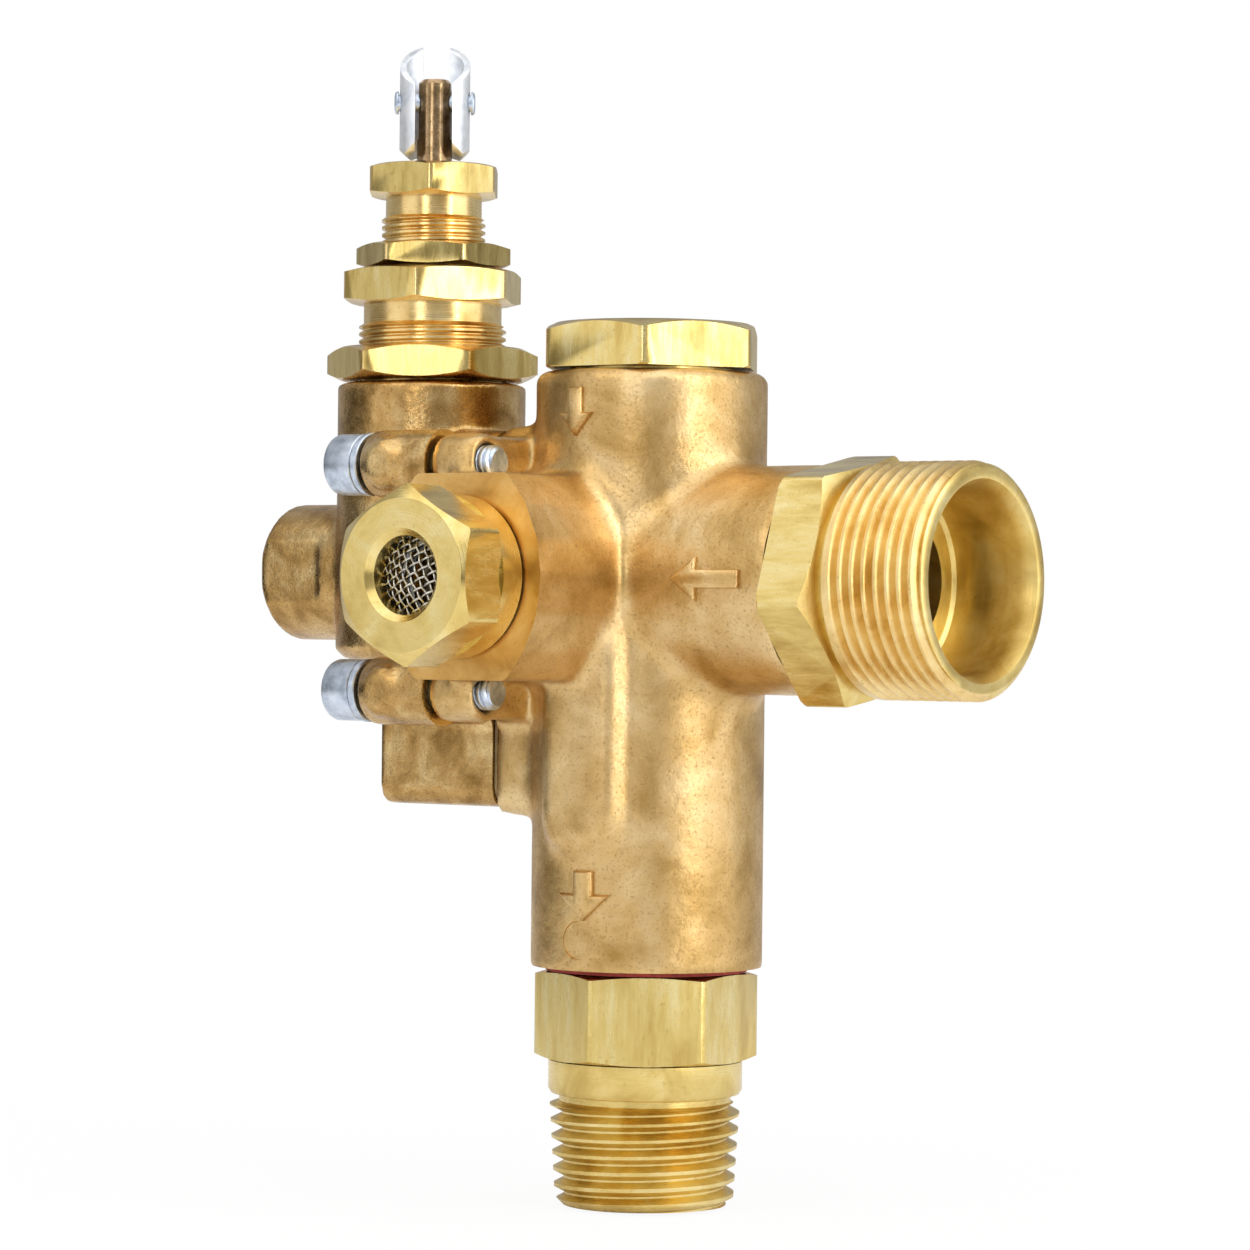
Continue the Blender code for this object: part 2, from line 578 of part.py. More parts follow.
def make_main_body(brass):
    profile = [(0, COLUMN_TOP_Z)]
    for k in range(EDGE_STEPS + 1):
        angle = math.pi / 2 * (1 - k / EDGE_STEPS)
        profile.append((COLUMN_R - RIM_ROUND + RIM_ROUND * math.cos(angle),
                        COLUMN_TOP_Z - RIM_ROUND + RIM_ROUND * math.sin(angle)))
    profile += [(COLUMN_R, COLUMN_FOOT_Z + COLUMN_FOOT_CHAMFER),
                (COLUMN_R - COLUMN_FOOT_CHAMFER, COLUMN_FOOT_Z), (0, COLUMN_FOOT_Z)]
    body = add_object("main_body", turned_mesh("main_body", profile), brass)
    port_centre = (0, 0, PORT_Z)

    inlet = frame_at(port_centre, ALONG_X)
    unite(body, rod_mesh("inlet_branch", INLET_BRANCH_R, 0, INLET_FACE_X,
                         chamfer=INLET_BRANCH_CHAMFER), inlet)
    section = flattened_round(EXHAUST_BRANCH_WIDTH, EXHAUST_BRANCH_HEIGHT, EXHAUST_BRANCH_FLAT)
    branch = prism_mesh("exhaust_branch", [point for point, normal in section],
                        0, -EXHAUST_FACE_Y)
    exhaust = frame_at((EXHAUST_AXIS_X, 0, PORT_Z), -ALONG_Y)
    unite(body, branch, exhaust)
    unite(body, fillet_ring_mesh("inlet_fillet", round_section(INLET_BRANCH_R), ALONG_X, 0,
                                 PORT_Z, COLUMN_R, FORGING_FILLET))
    unite(body, fillet_ring_mesh("exhaust_fillet", section, -ALONG_Y, EXHAUST_AXIS_X,
                                 PORT_Z, COLUMN_R, FORGING_FILLET))

    # Rounded boss over the signal passage, below the exhaust branch
    unite(body, arched_pad_mesh("passage_pad", PASSAGE_PAD_WIDTH / 2, PASSAGE_PAD_LOW,
                                COLUMN_R + PASSAGE_PAD_PROUD, PASSAGE_PAD_ROUND),
          frame_at(port_centre, -ALONG_Y, -90))

    # Pad and ears that carry the pilot valve
    ear_end = BODY_FACE_X + BODY_EAR_LENGTH
    unite(body, block_mesh("pilot_pad", (BODY_FACE_X, -BODY_PAD_HALF_Y, PORT_Z - BODY_PAD_LOW),
                           (0, BODY_PAD_HALF_Y, PORT_Z + BODY_PAD_TOP), PAD_ROUND, (0,)))
    ear_half = SCREW_PITCH_Y / 2
    ear_end_arc = []
    for k in range(EDGE_STEPS):
        angle = math.pi / 2 * (1 - k / (EDGE_STEPS - 1))
        ear_end_arc.append((BODY_EAR_R + EAR_END_ROUND * (math.cos(angle) - 1),
                            BODY_EAR_LENGTH + EAR_END_ROUND * (math.sin(angle) - 1)))
    for level in sorted({z for y, z in SCREW_PLACES}):
        web = block_mesh(f"ear_web_{round(level / MM)}",
                         (BODY_FACE_X, -ear_half, level - BODY_EAR_R + WEB_INSET),
                         (ear_end - EAR_END_ROUND / 2, ear_half,
                          level + BODY_EAR_R - WEB_INSET))
        unite(body, web)
        for y in (-ear_half, ear_half):
            tag = "a" if y < 0 else "b"
            ear = turned_mesh(f"ear_{tag}_{round(level / MM)}",
                              [(0, BODY_EAR_LENGTH), *ear_end_arc, (BODY_EAR_R, 0), (0, 0)],
                              MEDIUM_STEPS)
            unite(body, ear, frame_at((BODY_FACE_X, y, level), ALONG_X))

    # Milled mounting face
    reach_y = ear_half + BODY_EAR_R + CUTTER_MARGIN
    cut(body, block_mesh("pilot_face",
                         (-COLUMN_R - CUTTER_MARGIN - FACE_CUT_DEPTH, -reach_y,
                          PORT_Z - BODY_PAD_LOW - CUTTER_MARGIN),
                         (BODY_FACE_X, reach_y, COLUMN_TOP_Z + CUTTER_MARGIN)))

    # Shallow round mark that the forging die's ejector left
    mark_turn = math.radians(EJECTOR_MARK_TURN)
    outward = Vector((math.sin(mark_turn), -math.cos(mark_turn), 0))
    mark_low = COLUMN_R - EJECTOR_MARK_DEPTH
    mark = frame_at(Vector((0, 0, COLUMN_FOOT_Z + EJECTOR_MARK_RISE)), outward)
    cut(body, rod_mesh("ejector_mark", EJECTOR_MARK_R, mark_low, COLUMN_R + MM, MEDIUM_STEPS), mark)

    # Machined sockets and passages
    cut(body, rod_mesh("check_socket", CHECK_SOCKET_R, COLUMN_FOOT_Z - MM,
                       COLUMN_FOOT_Z + CHECK_SOCKET_DEPTH))
    cut(body, rod_mesh("plug_socket", PLUG_SOCKET_R, COLUMN_TOP_Z - PLUG_SOCKET_DEPTH,
                       COLUMN_TOP_Z + MM))
    cut(body, rod_mesh("main_passage", MAIN_PASSAGE_R, COLUMN_FOOT_Z + CHECK_SOCKET_DEPTH - MM,
                       COLUMN_TOP_Z - PLUG_SOCKET_DEPTH + MM, MEDIUM_STEPS))
    cut(body, rod_mesh("inlet_socket", INLET_SOCKET_R, INLET_FACE_X - INLET_SOCKET_DEPTH,
                       INLET_FACE_X + MM), inlet)
    cut(body, rod_mesh("inlet_passage", INLET_PASSAGE_R, -PASSAGE_OVERLAP,
                       INLET_FACE_X - INLET_SOCKET_DEPTH + MM, MEDIUM_STEPS), inlet)
    cut(body, rod_mesh("exhaust_socket", EXHAUST_SOCKET_R, -SEAT_PLANE_Y,
                       -EXHAUST_FACE_Y + MM), exhaust)
    passage_end = -SEAT_PLANE_Y - UNLOADER_PASSAGE_DEPTH
    cut(body, rod_mesh("unloader_passage", UNLOADER_SEAT_R, passage_end,
                       -SEAT_PLANE_Y + MM, MEDIUM_STEPS), exhaust)
    guide_r = POPPET_STEM_R + SLIDE_GAP
    cut(body, rod_mesh("poppet_guide", guide_r, passage_end - GUIDE_LENGTH,
                       passage_end + MM, SMALL_STEPS), exhaust)
    drilling_y = -(passage_end - GUIDE_LENGTH) - 2 * PILOT_DRILLING_R
    cut(body, rod_mesh("pilot_drilling", PILOT_DRILLING_R, BODY_FACE_X - MM,
                       EXHAUST_AXIS_X, SMALL_STEPS), frame_at((0, drilling_y, PORT_Z), ALONG_X))
    for name, (y, z) in zip(SCREW_NAMES, SCREW_PLACES):
        cut(body, rod_mesh(f"{name}_tapping", SCREW_HOLE_R, BODY_FACE_X - MM,
                           ear_end + MM, SMALL_STEPS), frame_at((0, y, z), ALONG_X))
    return body


def hex_piece(name, profile, material, across_flats, low, high, placement, steps=LARGE_STEPS):
    """Turned piece with one zone milled to a hexagon."""
    piece = add_object(name, turned_mesh(name, profile, steps), material, placement)
    reach = 0.6 * across_flats
    cut(piece, hex_sleeve_mesh("flats", across_flats, low, high, reach), placement)
    return piece


def hex_corner_r(across_flats):
    return across_flats / 2 / math.cos(math.pi / 6)


def make_top_plug(brass):
    corner = hex_corner_r(TOP_HEX_AF)
    chamfer = 0.9 * MM
    low = JOINT_GAP
    high = low + TOP_HEX_HEIGHT
    spigot_r = PLUG_SOCKET_R - THREAD_GAP
    neck_r = spigot_r - NECK_DEPTH
    profile = [(0, high), (TOP_HEX_AF / 2 - HEX_FACE_INSET, high), (corner, high - chamfer),
               (corner, low), (neck_r, low), (neck_r, -2 * NECK_DEPTH), (spigot_r, -3 * NECK_DEPTH),
               (spigot_r, -TOP_SPIGOT_LENGTH), (0, -TOP_SPIGOT_LENGTH)]
    return hex_piece("top_plug", profile, brass, TOP_HEX_AF, low, high + MM,
                     frame_at((0, 0, COLUMN_TOP_Z), ALONG_Z, TOP_HEX_TURN))


def make_outlet_nipple(brass):
    collar_low = OUTLET_THREAD_LENGTH
    hex_low = collar_low + OUTLET_COLLAR_HEIGHT
    hex_high = hex_low + OUTLET_HEX_HEIGHT - JOINT_GAP / 2
    spigot_top = COLUMN_FOOT_Z + OUTLET_SPIGOT_LENGTH
    spigot_r = CHECK_SOCKET_R - THREAD_GAP
    corner = hex_corner_r(OUTLET_HEX_AF)
    chamfer = 0.9 * MM
    chamber_low = spigot_top - CHECK_CHAMBER_DEPTH
    edge = 1.0 * MM
    relief_r = OUTLET_THREAD_R - OUTLET_THREAD_DEPTH + 0.1 * MM
    relief_low = collar_low - 0.9 * MM
    profile = [(CHECK_CHAMBER_R, spigot_top), (spigot_r, spigot_top), (spigot_r, hex_high),
               (OUTLET_HEX_AF / 2, hex_high), (corner, hex_high - 0.6 * MM),
               (corner, hex_low + chamfer), (OUTLET_HEX_AF / 2 - HEX_FACE_INSET, hex_low),
               (OUTLET_COLLAR_R, hex_low), (OUTLET_COLLAR_R, collar_low),
               (relief_r, collar_low - 0.2 * MM), (relief_r, relief_low),
               (OUTLET_THREAD_R, relief_low - 0.4 * MM), (OUTLET_THREAD_END_R, edge),
               (OUTLET_THREAD_END_R - edge, 0), (OUTLET_BORE_R, 0),
               (OUTLET_BORE_R, chamber_low), (CHECK_CHAMBER_R, chamber_low)]
    placement = frame_at((0, 0, 0), ALONG_Z, OUTLET_HEX_TURN)
    nipple = hex_piece("outlet_nipple", profile, brass, OUTLET_HEX_AF, hex_low, hex_high,
                       placement)
    groove = thread_groove_mesh("thread", OUTLET_THREAD_END_R, OUTLET_THREAD_R,
                                -0.8 * OUTLET_THREAD_PITCH, relief_low + 0.3 * MM,
                                OUTLET_THREAD_PITCH, OUTLET_THREAD_DEPTH)
    cut(nipple, groove, placement @ Matrix.Rotation(THREAD_PHASE, 4, "Z"))
    return nipple


def make_outlet_gasket(rubber):
    low = COLUMN_FOOT_Z - GASKET_RING_HEIGHT
    high = COLUMN_FOOT_Z - THIN_GAP
    inner = CHECK_SOCKET_R
    profile = [(inner, high), (GASKET_RING_R, high), (GASKET_RING_R, low), (inner, low)]
    return add_object("outlet_gasket", turned_mesh("outlet_gasket", profile), rubber)


def make_check_valve(brass, rubber, steel):
    seat_z = COLUMN_FOOT_Z + CHECK_SOCKET_DEPTH
    seal_top = seat_z - SLIDE_GAP
    disc_top = seal_top - CHECK_SEAL_THICKNESS - THIN_GAP
    disc_low = disc_top - CHECK_DISC_THICKNESS
    at_axis = frame_at((0, 0, 0))
    rim = 0.5 * MM
    seal_r = CHECK_DISC_R - rim
    profile = [(0, disc_top), (CHECK_DISC_R, disc_top), (CHECK_DISC_R, disc_low),
               (CHECK_STEM_R, disc_low), (CHECK_STEM_R, disc_low - CHECK_STEM_LENGTH),
               (0, disc_low - CHECK_STEM_LENGTH)]
    add_object("check_disc", turned_mesh("check_disc", profile, MEDIUM_STEPS), brass, at_axis)
    add_object("check_seal", rod_mesh("check_seal", seal_r, seal_top - CHECK_SEAL_THICKNESS,
                                      seal_top, MEDIUM_STEPS), rubber, at_axis)
    chamber_low = COLUMN_FOOT_Z + OUTLET_SPIGOT_LENGTH - CHECK_CHAMBER_DEPTH
    spring_r = (OUTLET_BORE_R + CHECK_CHAMBER_R) / 2 - CHECK_SPRING_WIRE_R
    coil_object("check_spring", spring_r, CHECK_SPRING_WIRE_R, CHECK_SPRING_TURNS,
                chamber_low + THIN_GAP, disc_low - THIN_GAP, steel, at_axis)


def make_inlet_adapter(brass):
    corner = hex_corner_r(INLET_HEX_AF)
    chamfer = 1.0 * MM
    hex_low = INLET_FACE_X + JOINT_GAP
    hex_high = INLET_FACE_X + INLET_HEX_LENGTH + JOINT_GAP
    neck_end = hex_high + INLET_NECK_LENGTH
    mouth = neck_end + INLET_THREAD_LENGTH
    step = mouth - INLET_MOUTH_DEPTH
    spigot_end = INLET_FACE_X - INLET_SPIGOT_LENGTH
    spigot_r = INLET_SOCKET_R - THREAD_GAP
    rim = 0.6 * MM
    profile = [(INLET_PASSAGE_R, step + INLET_LIP_HEIGHT), (INLET_LIP_R, step + INLET_LIP_HEIGHT),
               (INLET_LIP_R, step), (INLET_MOUTH_R - 0.1 * MM, step),
               (INLET_MOUTH_R, mouth - 1.6 * MM), (INLET_MOUTH_R + 0.8 * MM, mouth),
               (INLET_THREAD_R - rim, mouth), (INLET_THREAD_R, mouth - rim),
               (INLET_THREAD_R, neck_end), (INLET_NECK_R, neck_end - 0.3 * MM),
               (INLET_NECK_R, hex_high), (INLET_HEX_AF / 2 - HEX_FACE_INSET, hex_high),
               (corner, hex_high - chamfer), (corner, hex_low), (spigot_r, hex_low),
               (spigot_r, spigot_end), (INLET_PASSAGE_R, spigot_end)]
    placement = frame_at((0, 0, PORT_Z), ALONG_X, INLET_HEX_TURN)
    adapter = hex_piece("inlet_adapter", profile, brass, INLET_HEX_AF, hex_low - 0.1 * MM,
                        hex_high, placement)
    groove = thread_groove_mesh("thread", INLET_THREAD_R, INLET_THREAD_R, neck_end + 0.9 * MM,
                                mouth + 0.8 * INLET_THREAD_PITCH, INLET_THREAD_PITCH,
                                INLET_THREAD_DEPTH)
    cut(adapter, groove, placement @ Matrix.Rotation(THREAD_PHASE, 4, "Z"))
    return adapter


def exhaust_stations():
    """Distances along -Y from the column axis, from the face of the branch outwards."""
    face = -EXHAUST_FACE_Y
    collar = face + JOINT_GAP
    hex_low = collar + EXHAUST_COLLAR_LENGTH
    hex_high = hex_low + EXHAUST_HEX_LENGTH
    shoulder = hex_high - EXHAUST_MOUTH_DEPTH
    back = face - EXHAUST_SPIGOT_LENGTH
    return collar, hex_low, hex_high, shoulder, back


def make_exhaust_fitting(brass):
    collar, hex_low, hex_high, shoulder, back = exhaust_stations()
    corner = hex_corner_r(EXHAUST_HEX_AF)
    spigot_r = EXHAUST_SOCKET_R - THREAD_GAP
    chamfer = 1.1 * MM
    mouth_chamfer = 0.75 * MM
    profile = [(EXHAUST_MOUTH_R + mouth_chamfer, hex_high),
               (EXHAUST_HEX_AF / 2 - HEX_FACE_INSET, hex_high),
               (corner, hex_high - chamfer), (corner, hex_low + 0.6 * MM),
               (EXHAUST_COLLAR_R, hex_low), (EXHAUST_COLLAR_R, collar),
               (spigot_r, collar), (spigot_r, back), (EXHAUST_CHAMBER_R, back),
               (EXHAUST_CHAMBER_R, shoulder), (EXHAUST_MOUTH_R, shoulder),
               (EXHAUST_MOUTH_R, hex_high - mouth_chamfer)]
    placement = frame_at((EXHAUST_AXIS_X, 0, PORT_Z), -ALONG_Y, 90)
    return hex_piece("exhaust_fitting", profile, brass, EXHAUST_HEX_AF,
                     hex_low, hex_high + MM, placement)


def make_exhaust_screen(steel):
    """Domed screen: crossed wires as a pierced sheet, pressed into a flat rim."""
    collar, hex_low, hex_high, shoulder, back = exhaust_stations()
    outer = EXHAUST_CHAMBER_R - THIN_GAP
    inner = outer - SCREEN_RIM_WIDTH
    rim_front = shoulder - THIN_GAP
    rim_back = rim_front - SCREEN_RIM_THICKNESS
    half_count = int(inner / SCREEN_PITCH) + 1
    bm = bmesh.new()
    lines = []
    for k in range(-half_count, half_count + 1):
        lines += [k * SCREEN_PITCH - SCREEN_WIRE / 2, k * SCREEN_PITCH + SCREEN_WIRE / 2]
    grid = {}
    for i, x in enumerate(lines):
        for j, y in enumerate(lines):
            grid[i, j] = bm.verts.new((x, y, 0))
    reach = inner + 0.25 * MM
    for i in range(len(lines) - 1):
        for j in range(len(lines) - 1):
            middle = math.hypot((lines[i] + lines[i + 1]) / 2, (lines[j] + lines[j + 1]) / 2)
            is_gap = i % 2 == 1 and j % 2 == 1
            if middle < reach + SCREEN_PITCH and not is_gap:
                bm.faces.new((grid[i, j], grid[i + 1, j], grid[i + 1, j + 1], grid[i, j + 1]))
    bmesh.ops.delete(bm, geom=[v for v in bm.verts if not v.link_faces], context="VERTS")
    bmesh.ops.delete(bm, geom=[f for f in bm.faces if f.calc_center_median().length > reach],
                     context="FACES")
    bmesh.ops.delete(bm, geom=[v for v in bm.verts if not v.link_faces], context="VERTS")
    moved = bmesh.ops.extrude_face_region(bm, geom=list(bm.faces))
    risen = [v for v in moved["geom"] if isinstance(v, bmesh.types.BMVert)]
    bmesh.ops.translate(bm, verts=risen, vec=(0, 0, SCREEN_WIRE))
    for vert in bm.verts:
        share = min(math.hypot(vert.co.x, vert.co.y) / inner, 1.0)
        vert.co.z += rim_back + SCREEN_DOME * (1 - share ** 2)
    mesh = finished_mesh("exhaust_screen", bm)
    placement = frame_at((EXHAUST_AXIS_X, 0, PORT_Z), -ALONG_Y, SCREEN_TURN)
    screen = add_object("exhaust_screen", mesh, steel, placement)
    rim = turned_mesh("rim", [(inner, rim_front), (outer, rim_front), (outer, rim_back),
                              (inner, rim_back)], MEDIUM_STEPS)
    unite(screen, rim, placement)
    return screen


def make_unloader(brass, rubber, steel):
    """Poppet that shuts the exhaust passage, its seal and its spring, along -Y."""
    collar, hex_low, hex_high, shoulder, back = exhaust_stations()
    placement = frame_at((EXHAUST_AXIS_X, 0, PORT_Z), -ALONG_Y)
    seat = -SEAT_PLANE_Y
    seal_low = seat + SLIDE_GAP
    disc_low = seal_low + POPPET_SEAL_THICKNESS + THIN_GAP
    disc_high = disc_low + POPPET_THICKNESS
    hub_high = disc_high + POPPET_HUB_LENGTH
    stem_end = seat - UNLOADER_PASSAGE_DEPTH - GUIDE_LENGTH + 1.5 * MM
    profile = [(0, hub_high), (POPPET_HUB_R, hub_high), (POPPET_HUB_R, disc_high),
               (POPPET_R, disc_high), (POPPET_R, disc_low), (POPPET_STEM_R, disc_low),
               (POPPET_STEM_R, stem_end), (0, stem_end)]
    add_object("unloader_poppet", turned_mesh("unloader_poppet", profile, MEDIUM_STEPS),
               brass, placement)
    ring = [(POPPET_SEAL_HOLE_R, seal_low + POPPET_SEAL_THICKNESS),
            (POPPET_R - 0.2 * MM, seal_low + POPPET_SEAL_THICKNESS),
            (POPPET_R - 0.2 * MM, seal_low), (POPPET_SEAL_HOLE_R, seal_low)]
    add_object("unloader_seal", turned_mesh("unloader_seal", ring, MEDIUM_STEPS), rubber, placement)
    rim_back = shoulder - THIN_GAP - SCREEN_RIM_THICKNESS
    spring_end = rim_back - THIN_GAP - POPPET_LIFT
    coil_object("unloader_spring", UNLOADER_SPRING_R, UNLOADER_SPRING_WIRE_R,
                UNLOADER_SPRING_TURNS, disc_high + THIN_GAP, spring_end, steel, placement)


def ear_bulge_mesh(name):
    """Rounded bulge on an ear of the pilot body, ending in a small flat facet."""
    height = PILOT_EAR_R + EAR_BULGE_PROUD
    slope = EAR_BULGE_R - EAR_FACET_R
    profile = [(0, height), (EAR_FACET_R, height),
               (EAR_FACET_R + 0.6 * slope, height - 0.35 * slope), (EAR_BULGE_R, height - slope),
               (EAR_BULGE_R, 0), (0, 0)]
    return turned_mesh(name, profile, SMALL_STEPS)


def make_pilot_body(brass):
    top = PILOT_TOP_Z
    low = PORT_Z - PILOT_TUBE_FOOT
    profile = [(0, top), (PILOT_TUBE_R - 0.5 * MM, top), (PILOT_TUBE_R, top - 0.5 * MM)]
    for k in range(EDGE_STEPS + 1):
        angle = math.pi / 2 * k / EDGE_STEPS
        profile.append((PILOT_TUBE_R - PILOT_FOOT_ROUND + PILOT_FOOT_ROUND * math.cos(angle),
                        low + PILOT_FOOT_ROUND - PILOT_FOOT_ROUND * math.sin(angle)))
    profile.append((0, low))
    axis = (PILOT_AXIS_X, 0, 0)
    body = add_object("pilot_body", turned_mesh("pilot_body", profile), brass, frame_at(axis))
    tube_centre = frame_at(axis)

    # Bridge from the tube to the mounting face, and the block of the lower port
    unite(body, block_mesh("bridge", (PILOT_AXIS_X, -PILOT_BRIDGE_HALF_Y, low + PILOT_BRIDGE_RISE),
                           (PILOT_FACE_X, PILOT_BRIDGE_HALF_Y, PORT_Z + PILOT_BRIDGE_TOP),
                           PILOT_BRIDGE_ROUND, (0,)))
    block_low = PORT_Z - SIGNAL_PORT_LOW
    unite(body, block_mesh("signal_port", (SIGNAL_PORT_FACE_X, -SIGNAL_PORT_HALF_Y, block_low),
                           (PILOT_FACE_X, SIGNAL_PORT_HALF_Y, block_low + SIGNAL_PORT_HEIGHT),
                           SIGNAL_PORT_ROUND, (0,)))
    sense = frame_at((PILOT_AXIS_X, 0, SENSE_Z), -ALONG_X)
    port_length = PILOT_AXIS_X - SENSE_PORT_FACE_X
    unite(body, rod_mesh("sense_port", SENSE_PORT_R, 0, port_length, chamfer=1.0 * MM), sense)
    flat_start = port_length - SENSE_PORT_FLAT_LENGTH
    for sign in (-1, 1):
        near = sign * SENSE_PORT_FLATS / 2
        far = sign * (SENSE_PORT_R + MM)
        low_y, high_y = sorted((near, far))
        flat = block_mesh(f"flat_{'a' if sign < 0 else 'b'}",
                          (PILOT_AXIS_X - port_length - MM, low_y, SENSE_Z - SENSE_PORT_R - MM),
                          (PILOT_AXIS_X - flat_start, high_y, SENSE_Z + SENSE_PORT_R + MM))
        cut(body, flat)

    ear_half = SCREW_PITCH_Y / 2
    ear_start = PILOT_FACE_X - PILOT_EAR_LENGTH
    for level in sorted({z for y, z in SCREW_PLACES}):
        tag = round(level / MM)
        unite(body, block_mesh(f"ear_web_{tag}",
                               (ear_start + MM, -ear_half, level - PILOT_EAR_R + WEB_INSET),
                               (PILOT_FACE_X, ear_half, level + PILOT_EAR_R - WEB_INSET),
                               1.2 * MM, (1,), 2))
        for side in (-1, 1):
            end = "a" if side < 0 else "b"
            ear = turned_mesh(f"ear_{end}_{tag}",
                              [(0, PILOT_EAR_LENGTH), (PILOT_EAR_R, PILOT_EAR_LENGTH),
                               (PILOT_EAR_R, 0.8 * MM), (PILOT_EAR_R - 0.8 * MM, 0), (0, 0)],
                              MEDIUM_STEPS)
            unite(body, ear, frame_at((ear_start, side * ear_half, level), ALONG_X))
            unite(body, ear_bulge_mesh(f"bulge_{end}_{tag}"),
                  frame_at((ear_start + EAR_BULGE_PLACE, side * ear_half, level), side * ALONG_Y))

    # Threaded bore for the pressure screw, chamber, seat pocket and drillings
    bore_low = top - PILOT_THREAD_BORE_DEPTH
    chamber_low = top - PILOT_CHAMBER_DEPTH
    pocket_low = chamber_low - SEAT_POCKET_DEPTH
    step = 0.2 * MM
    bore = [(0, top + MM), (PRESSURE_SCREW_R + THREAD_GAP, top + MM),
            (PRESSURE_SCREW_R + THREAD_GAP, bore_low), (PILOT_CHAMBER_R, bore_low),
            (PILOT_CHAMBER_R, chamber_low), (SEAT_POCKET_R, chamber_low),
            (SEAT_POCKET_R, pocket_low), (SENSE_DRILLING_R, pocket_low),
            (SENSE_DRILLING_R, SENSE_Z - step), (0, SENSE_Z - step)]
    cut(body, turned_mesh("stack_bore", bore), tube_centre)
    cut(body, turned_mesh("sense_bore", [(0, port_length + MM), (SENSE_BORE_R, port_length + MM),
                                         (SENSE_BORE_R, port_length - SENSE_BORE_DEPTH),
                                         (SENSE_DRILLING_R, port_length - SENSE_BORE_DEPTH),
                                         (SENSE_DRILLING_R, 0), (0, 0)], MEDIUM_STEPS), sense)
    signal_z = block_low + SIGNAL_PORT_HALF_Y
    signal = frame_at((SIGNAL_PORT_FACE_X, 0, signal_z), ALONG_X)
    depth = PILOT_FACE_X - SIGNAL_PORT_FACE_X
    cut(body, turned_mesh("signal_bore", [(0, depth + MM), (SIGNAL_DRILLING_R, depth + MM),
                                          (SIGNAL_DRILLING_R, SIGNAL_BORE_DEPTH),
                                          (SIGNAL_BORE_R, SIGNAL_BORE_DEPTH),
                                          (SIGNAL_BORE_R, -MM), (0, -MM)], MEDIUM_STEPS), signal)
    for name, (y, z) in zip(SCREW_NAMES, SCREW_PLACES):
        cut(body, rod_mesh(f"{name}_hole", SCREW_HOLE_R, ear_start - MM,
                           PILOT_FACE_X + MM, SMALL_STEPS), frame_at((0, y, z), ALONG_X))
    return body


def make_pilot_gasket(rubber):
    half = GASKET_THICKNESS / 2
    inset = 0.3 * MM
    gasket = add_object("pilot_gasket",
                        block_mesh("pilot_gasket",
                                   (INTERFACE_X - half, -BODY_PAD_HALF_Y + inset,
                                    PORT_Z - SIGNAL_PORT_LOW + inset),
                                   (INTERFACE_X + half, BODY_PAD_HALF_Y - inset,
                                    PORT_Z + PILOT_BRIDGE_TOP - inset), PAD_ROUND, (0,)), rubber)
    signal_z = PORT_Z - SIGNAL_PORT_LOW + SIGNAL_PORT_HALF_Y
    cut(gasket, rod_mesh("signal_hole", SIGNAL_DRILLING_R, INTERFACE_X - MM, INTERFACE_X + MM,
                         SMALL_STEPS), frame_at((0, 0, signal_z), ALONG_X))
    return gasket


def make_screws(steel):
    shank_top = SCREW_HEAD_LENGTH
    washer_end = shank_top + JOINT_GAP / 2 + WASHER_THICKNESS
    tip = washer_end + PILOT_EAR_LENGTH + (BODY_FACE_X - PILOT_FACE_X) + BODY_EAR_LENGTH \
        + SCREW_TIP_PROUD
    edge = 0.35 * MM
    profile = [(0, tip), (SCREW_R - 0.5 * MM, tip), (SCREW_R, tip - 0.5 * MM),
               (SCREW_R, shank_top), (SCREW_HEAD_R, shank_top), (SCREW_HEAD_R, edge),
               (SCREW_HEAD_R - edge, 0), (0, 0)]
    screw_mesh = turned_mesh("cap_screw", profile, MEDIUM_STEPS)
    socket = prism_mesh("socket", hexagon(SCREW_SOCKET_AF), -MM, SCREW_SOCKET_DEPTH)
    ear_start = PILOT_FACE_X - PILOT_EAR_LENGTH
    head_x = ear_start - JOINT_GAP / 2 - washer_end
    washer_low = shank_top + JOINT_GAP / 2
    hole_r = SCREW_R + THIN_GAP
    ring = turned_mesh("lock_washer", [(hole_r, washer_low + WASHER_THICKNESS),
                                       (WASHER_R, washer_low + WASHER_THICKNESS),
                                       (WASHER_R, washer_low), (hole_r, washer_low)],
                       MEDIUM_STEPS)
    split = block_mesh("split", (0, -WASHER_SPLIT / 2, washer_low - MM),
                       (WASHER_R + MM, WASHER_SPLIT / 2, washer_low + WASHER_THICKNESS + MM))
    for name, (y, z) in zip(SCREW_NAMES, SCREW_PLACES):
        placement = frame_at((head_x, y, z), ALONG_X)
        screw = add_object(f"cap_screw_{name}", screw_mesh, steel, placement)
        cut(screw, socket, placement)
        placement = frame_at((head_x, y, z), ALONG_X, WASHER_TURN)
        washer = add_object(f"lock_washer_{name}", ring, steel, placement)
        cut(washer, split, placement)


def nut_profile(across_flats, inner_r, low, high, chamfer):
    corner = hex_corner_r(across_flats)
    flat_r = across_flats / 2 - HEX_FACE_INSET
    return [(inner_r, high), (flat_r, high), (corner, high - chamfer), (corner, low + chamfer),
            (flat_r, low), (inner_r, low)]


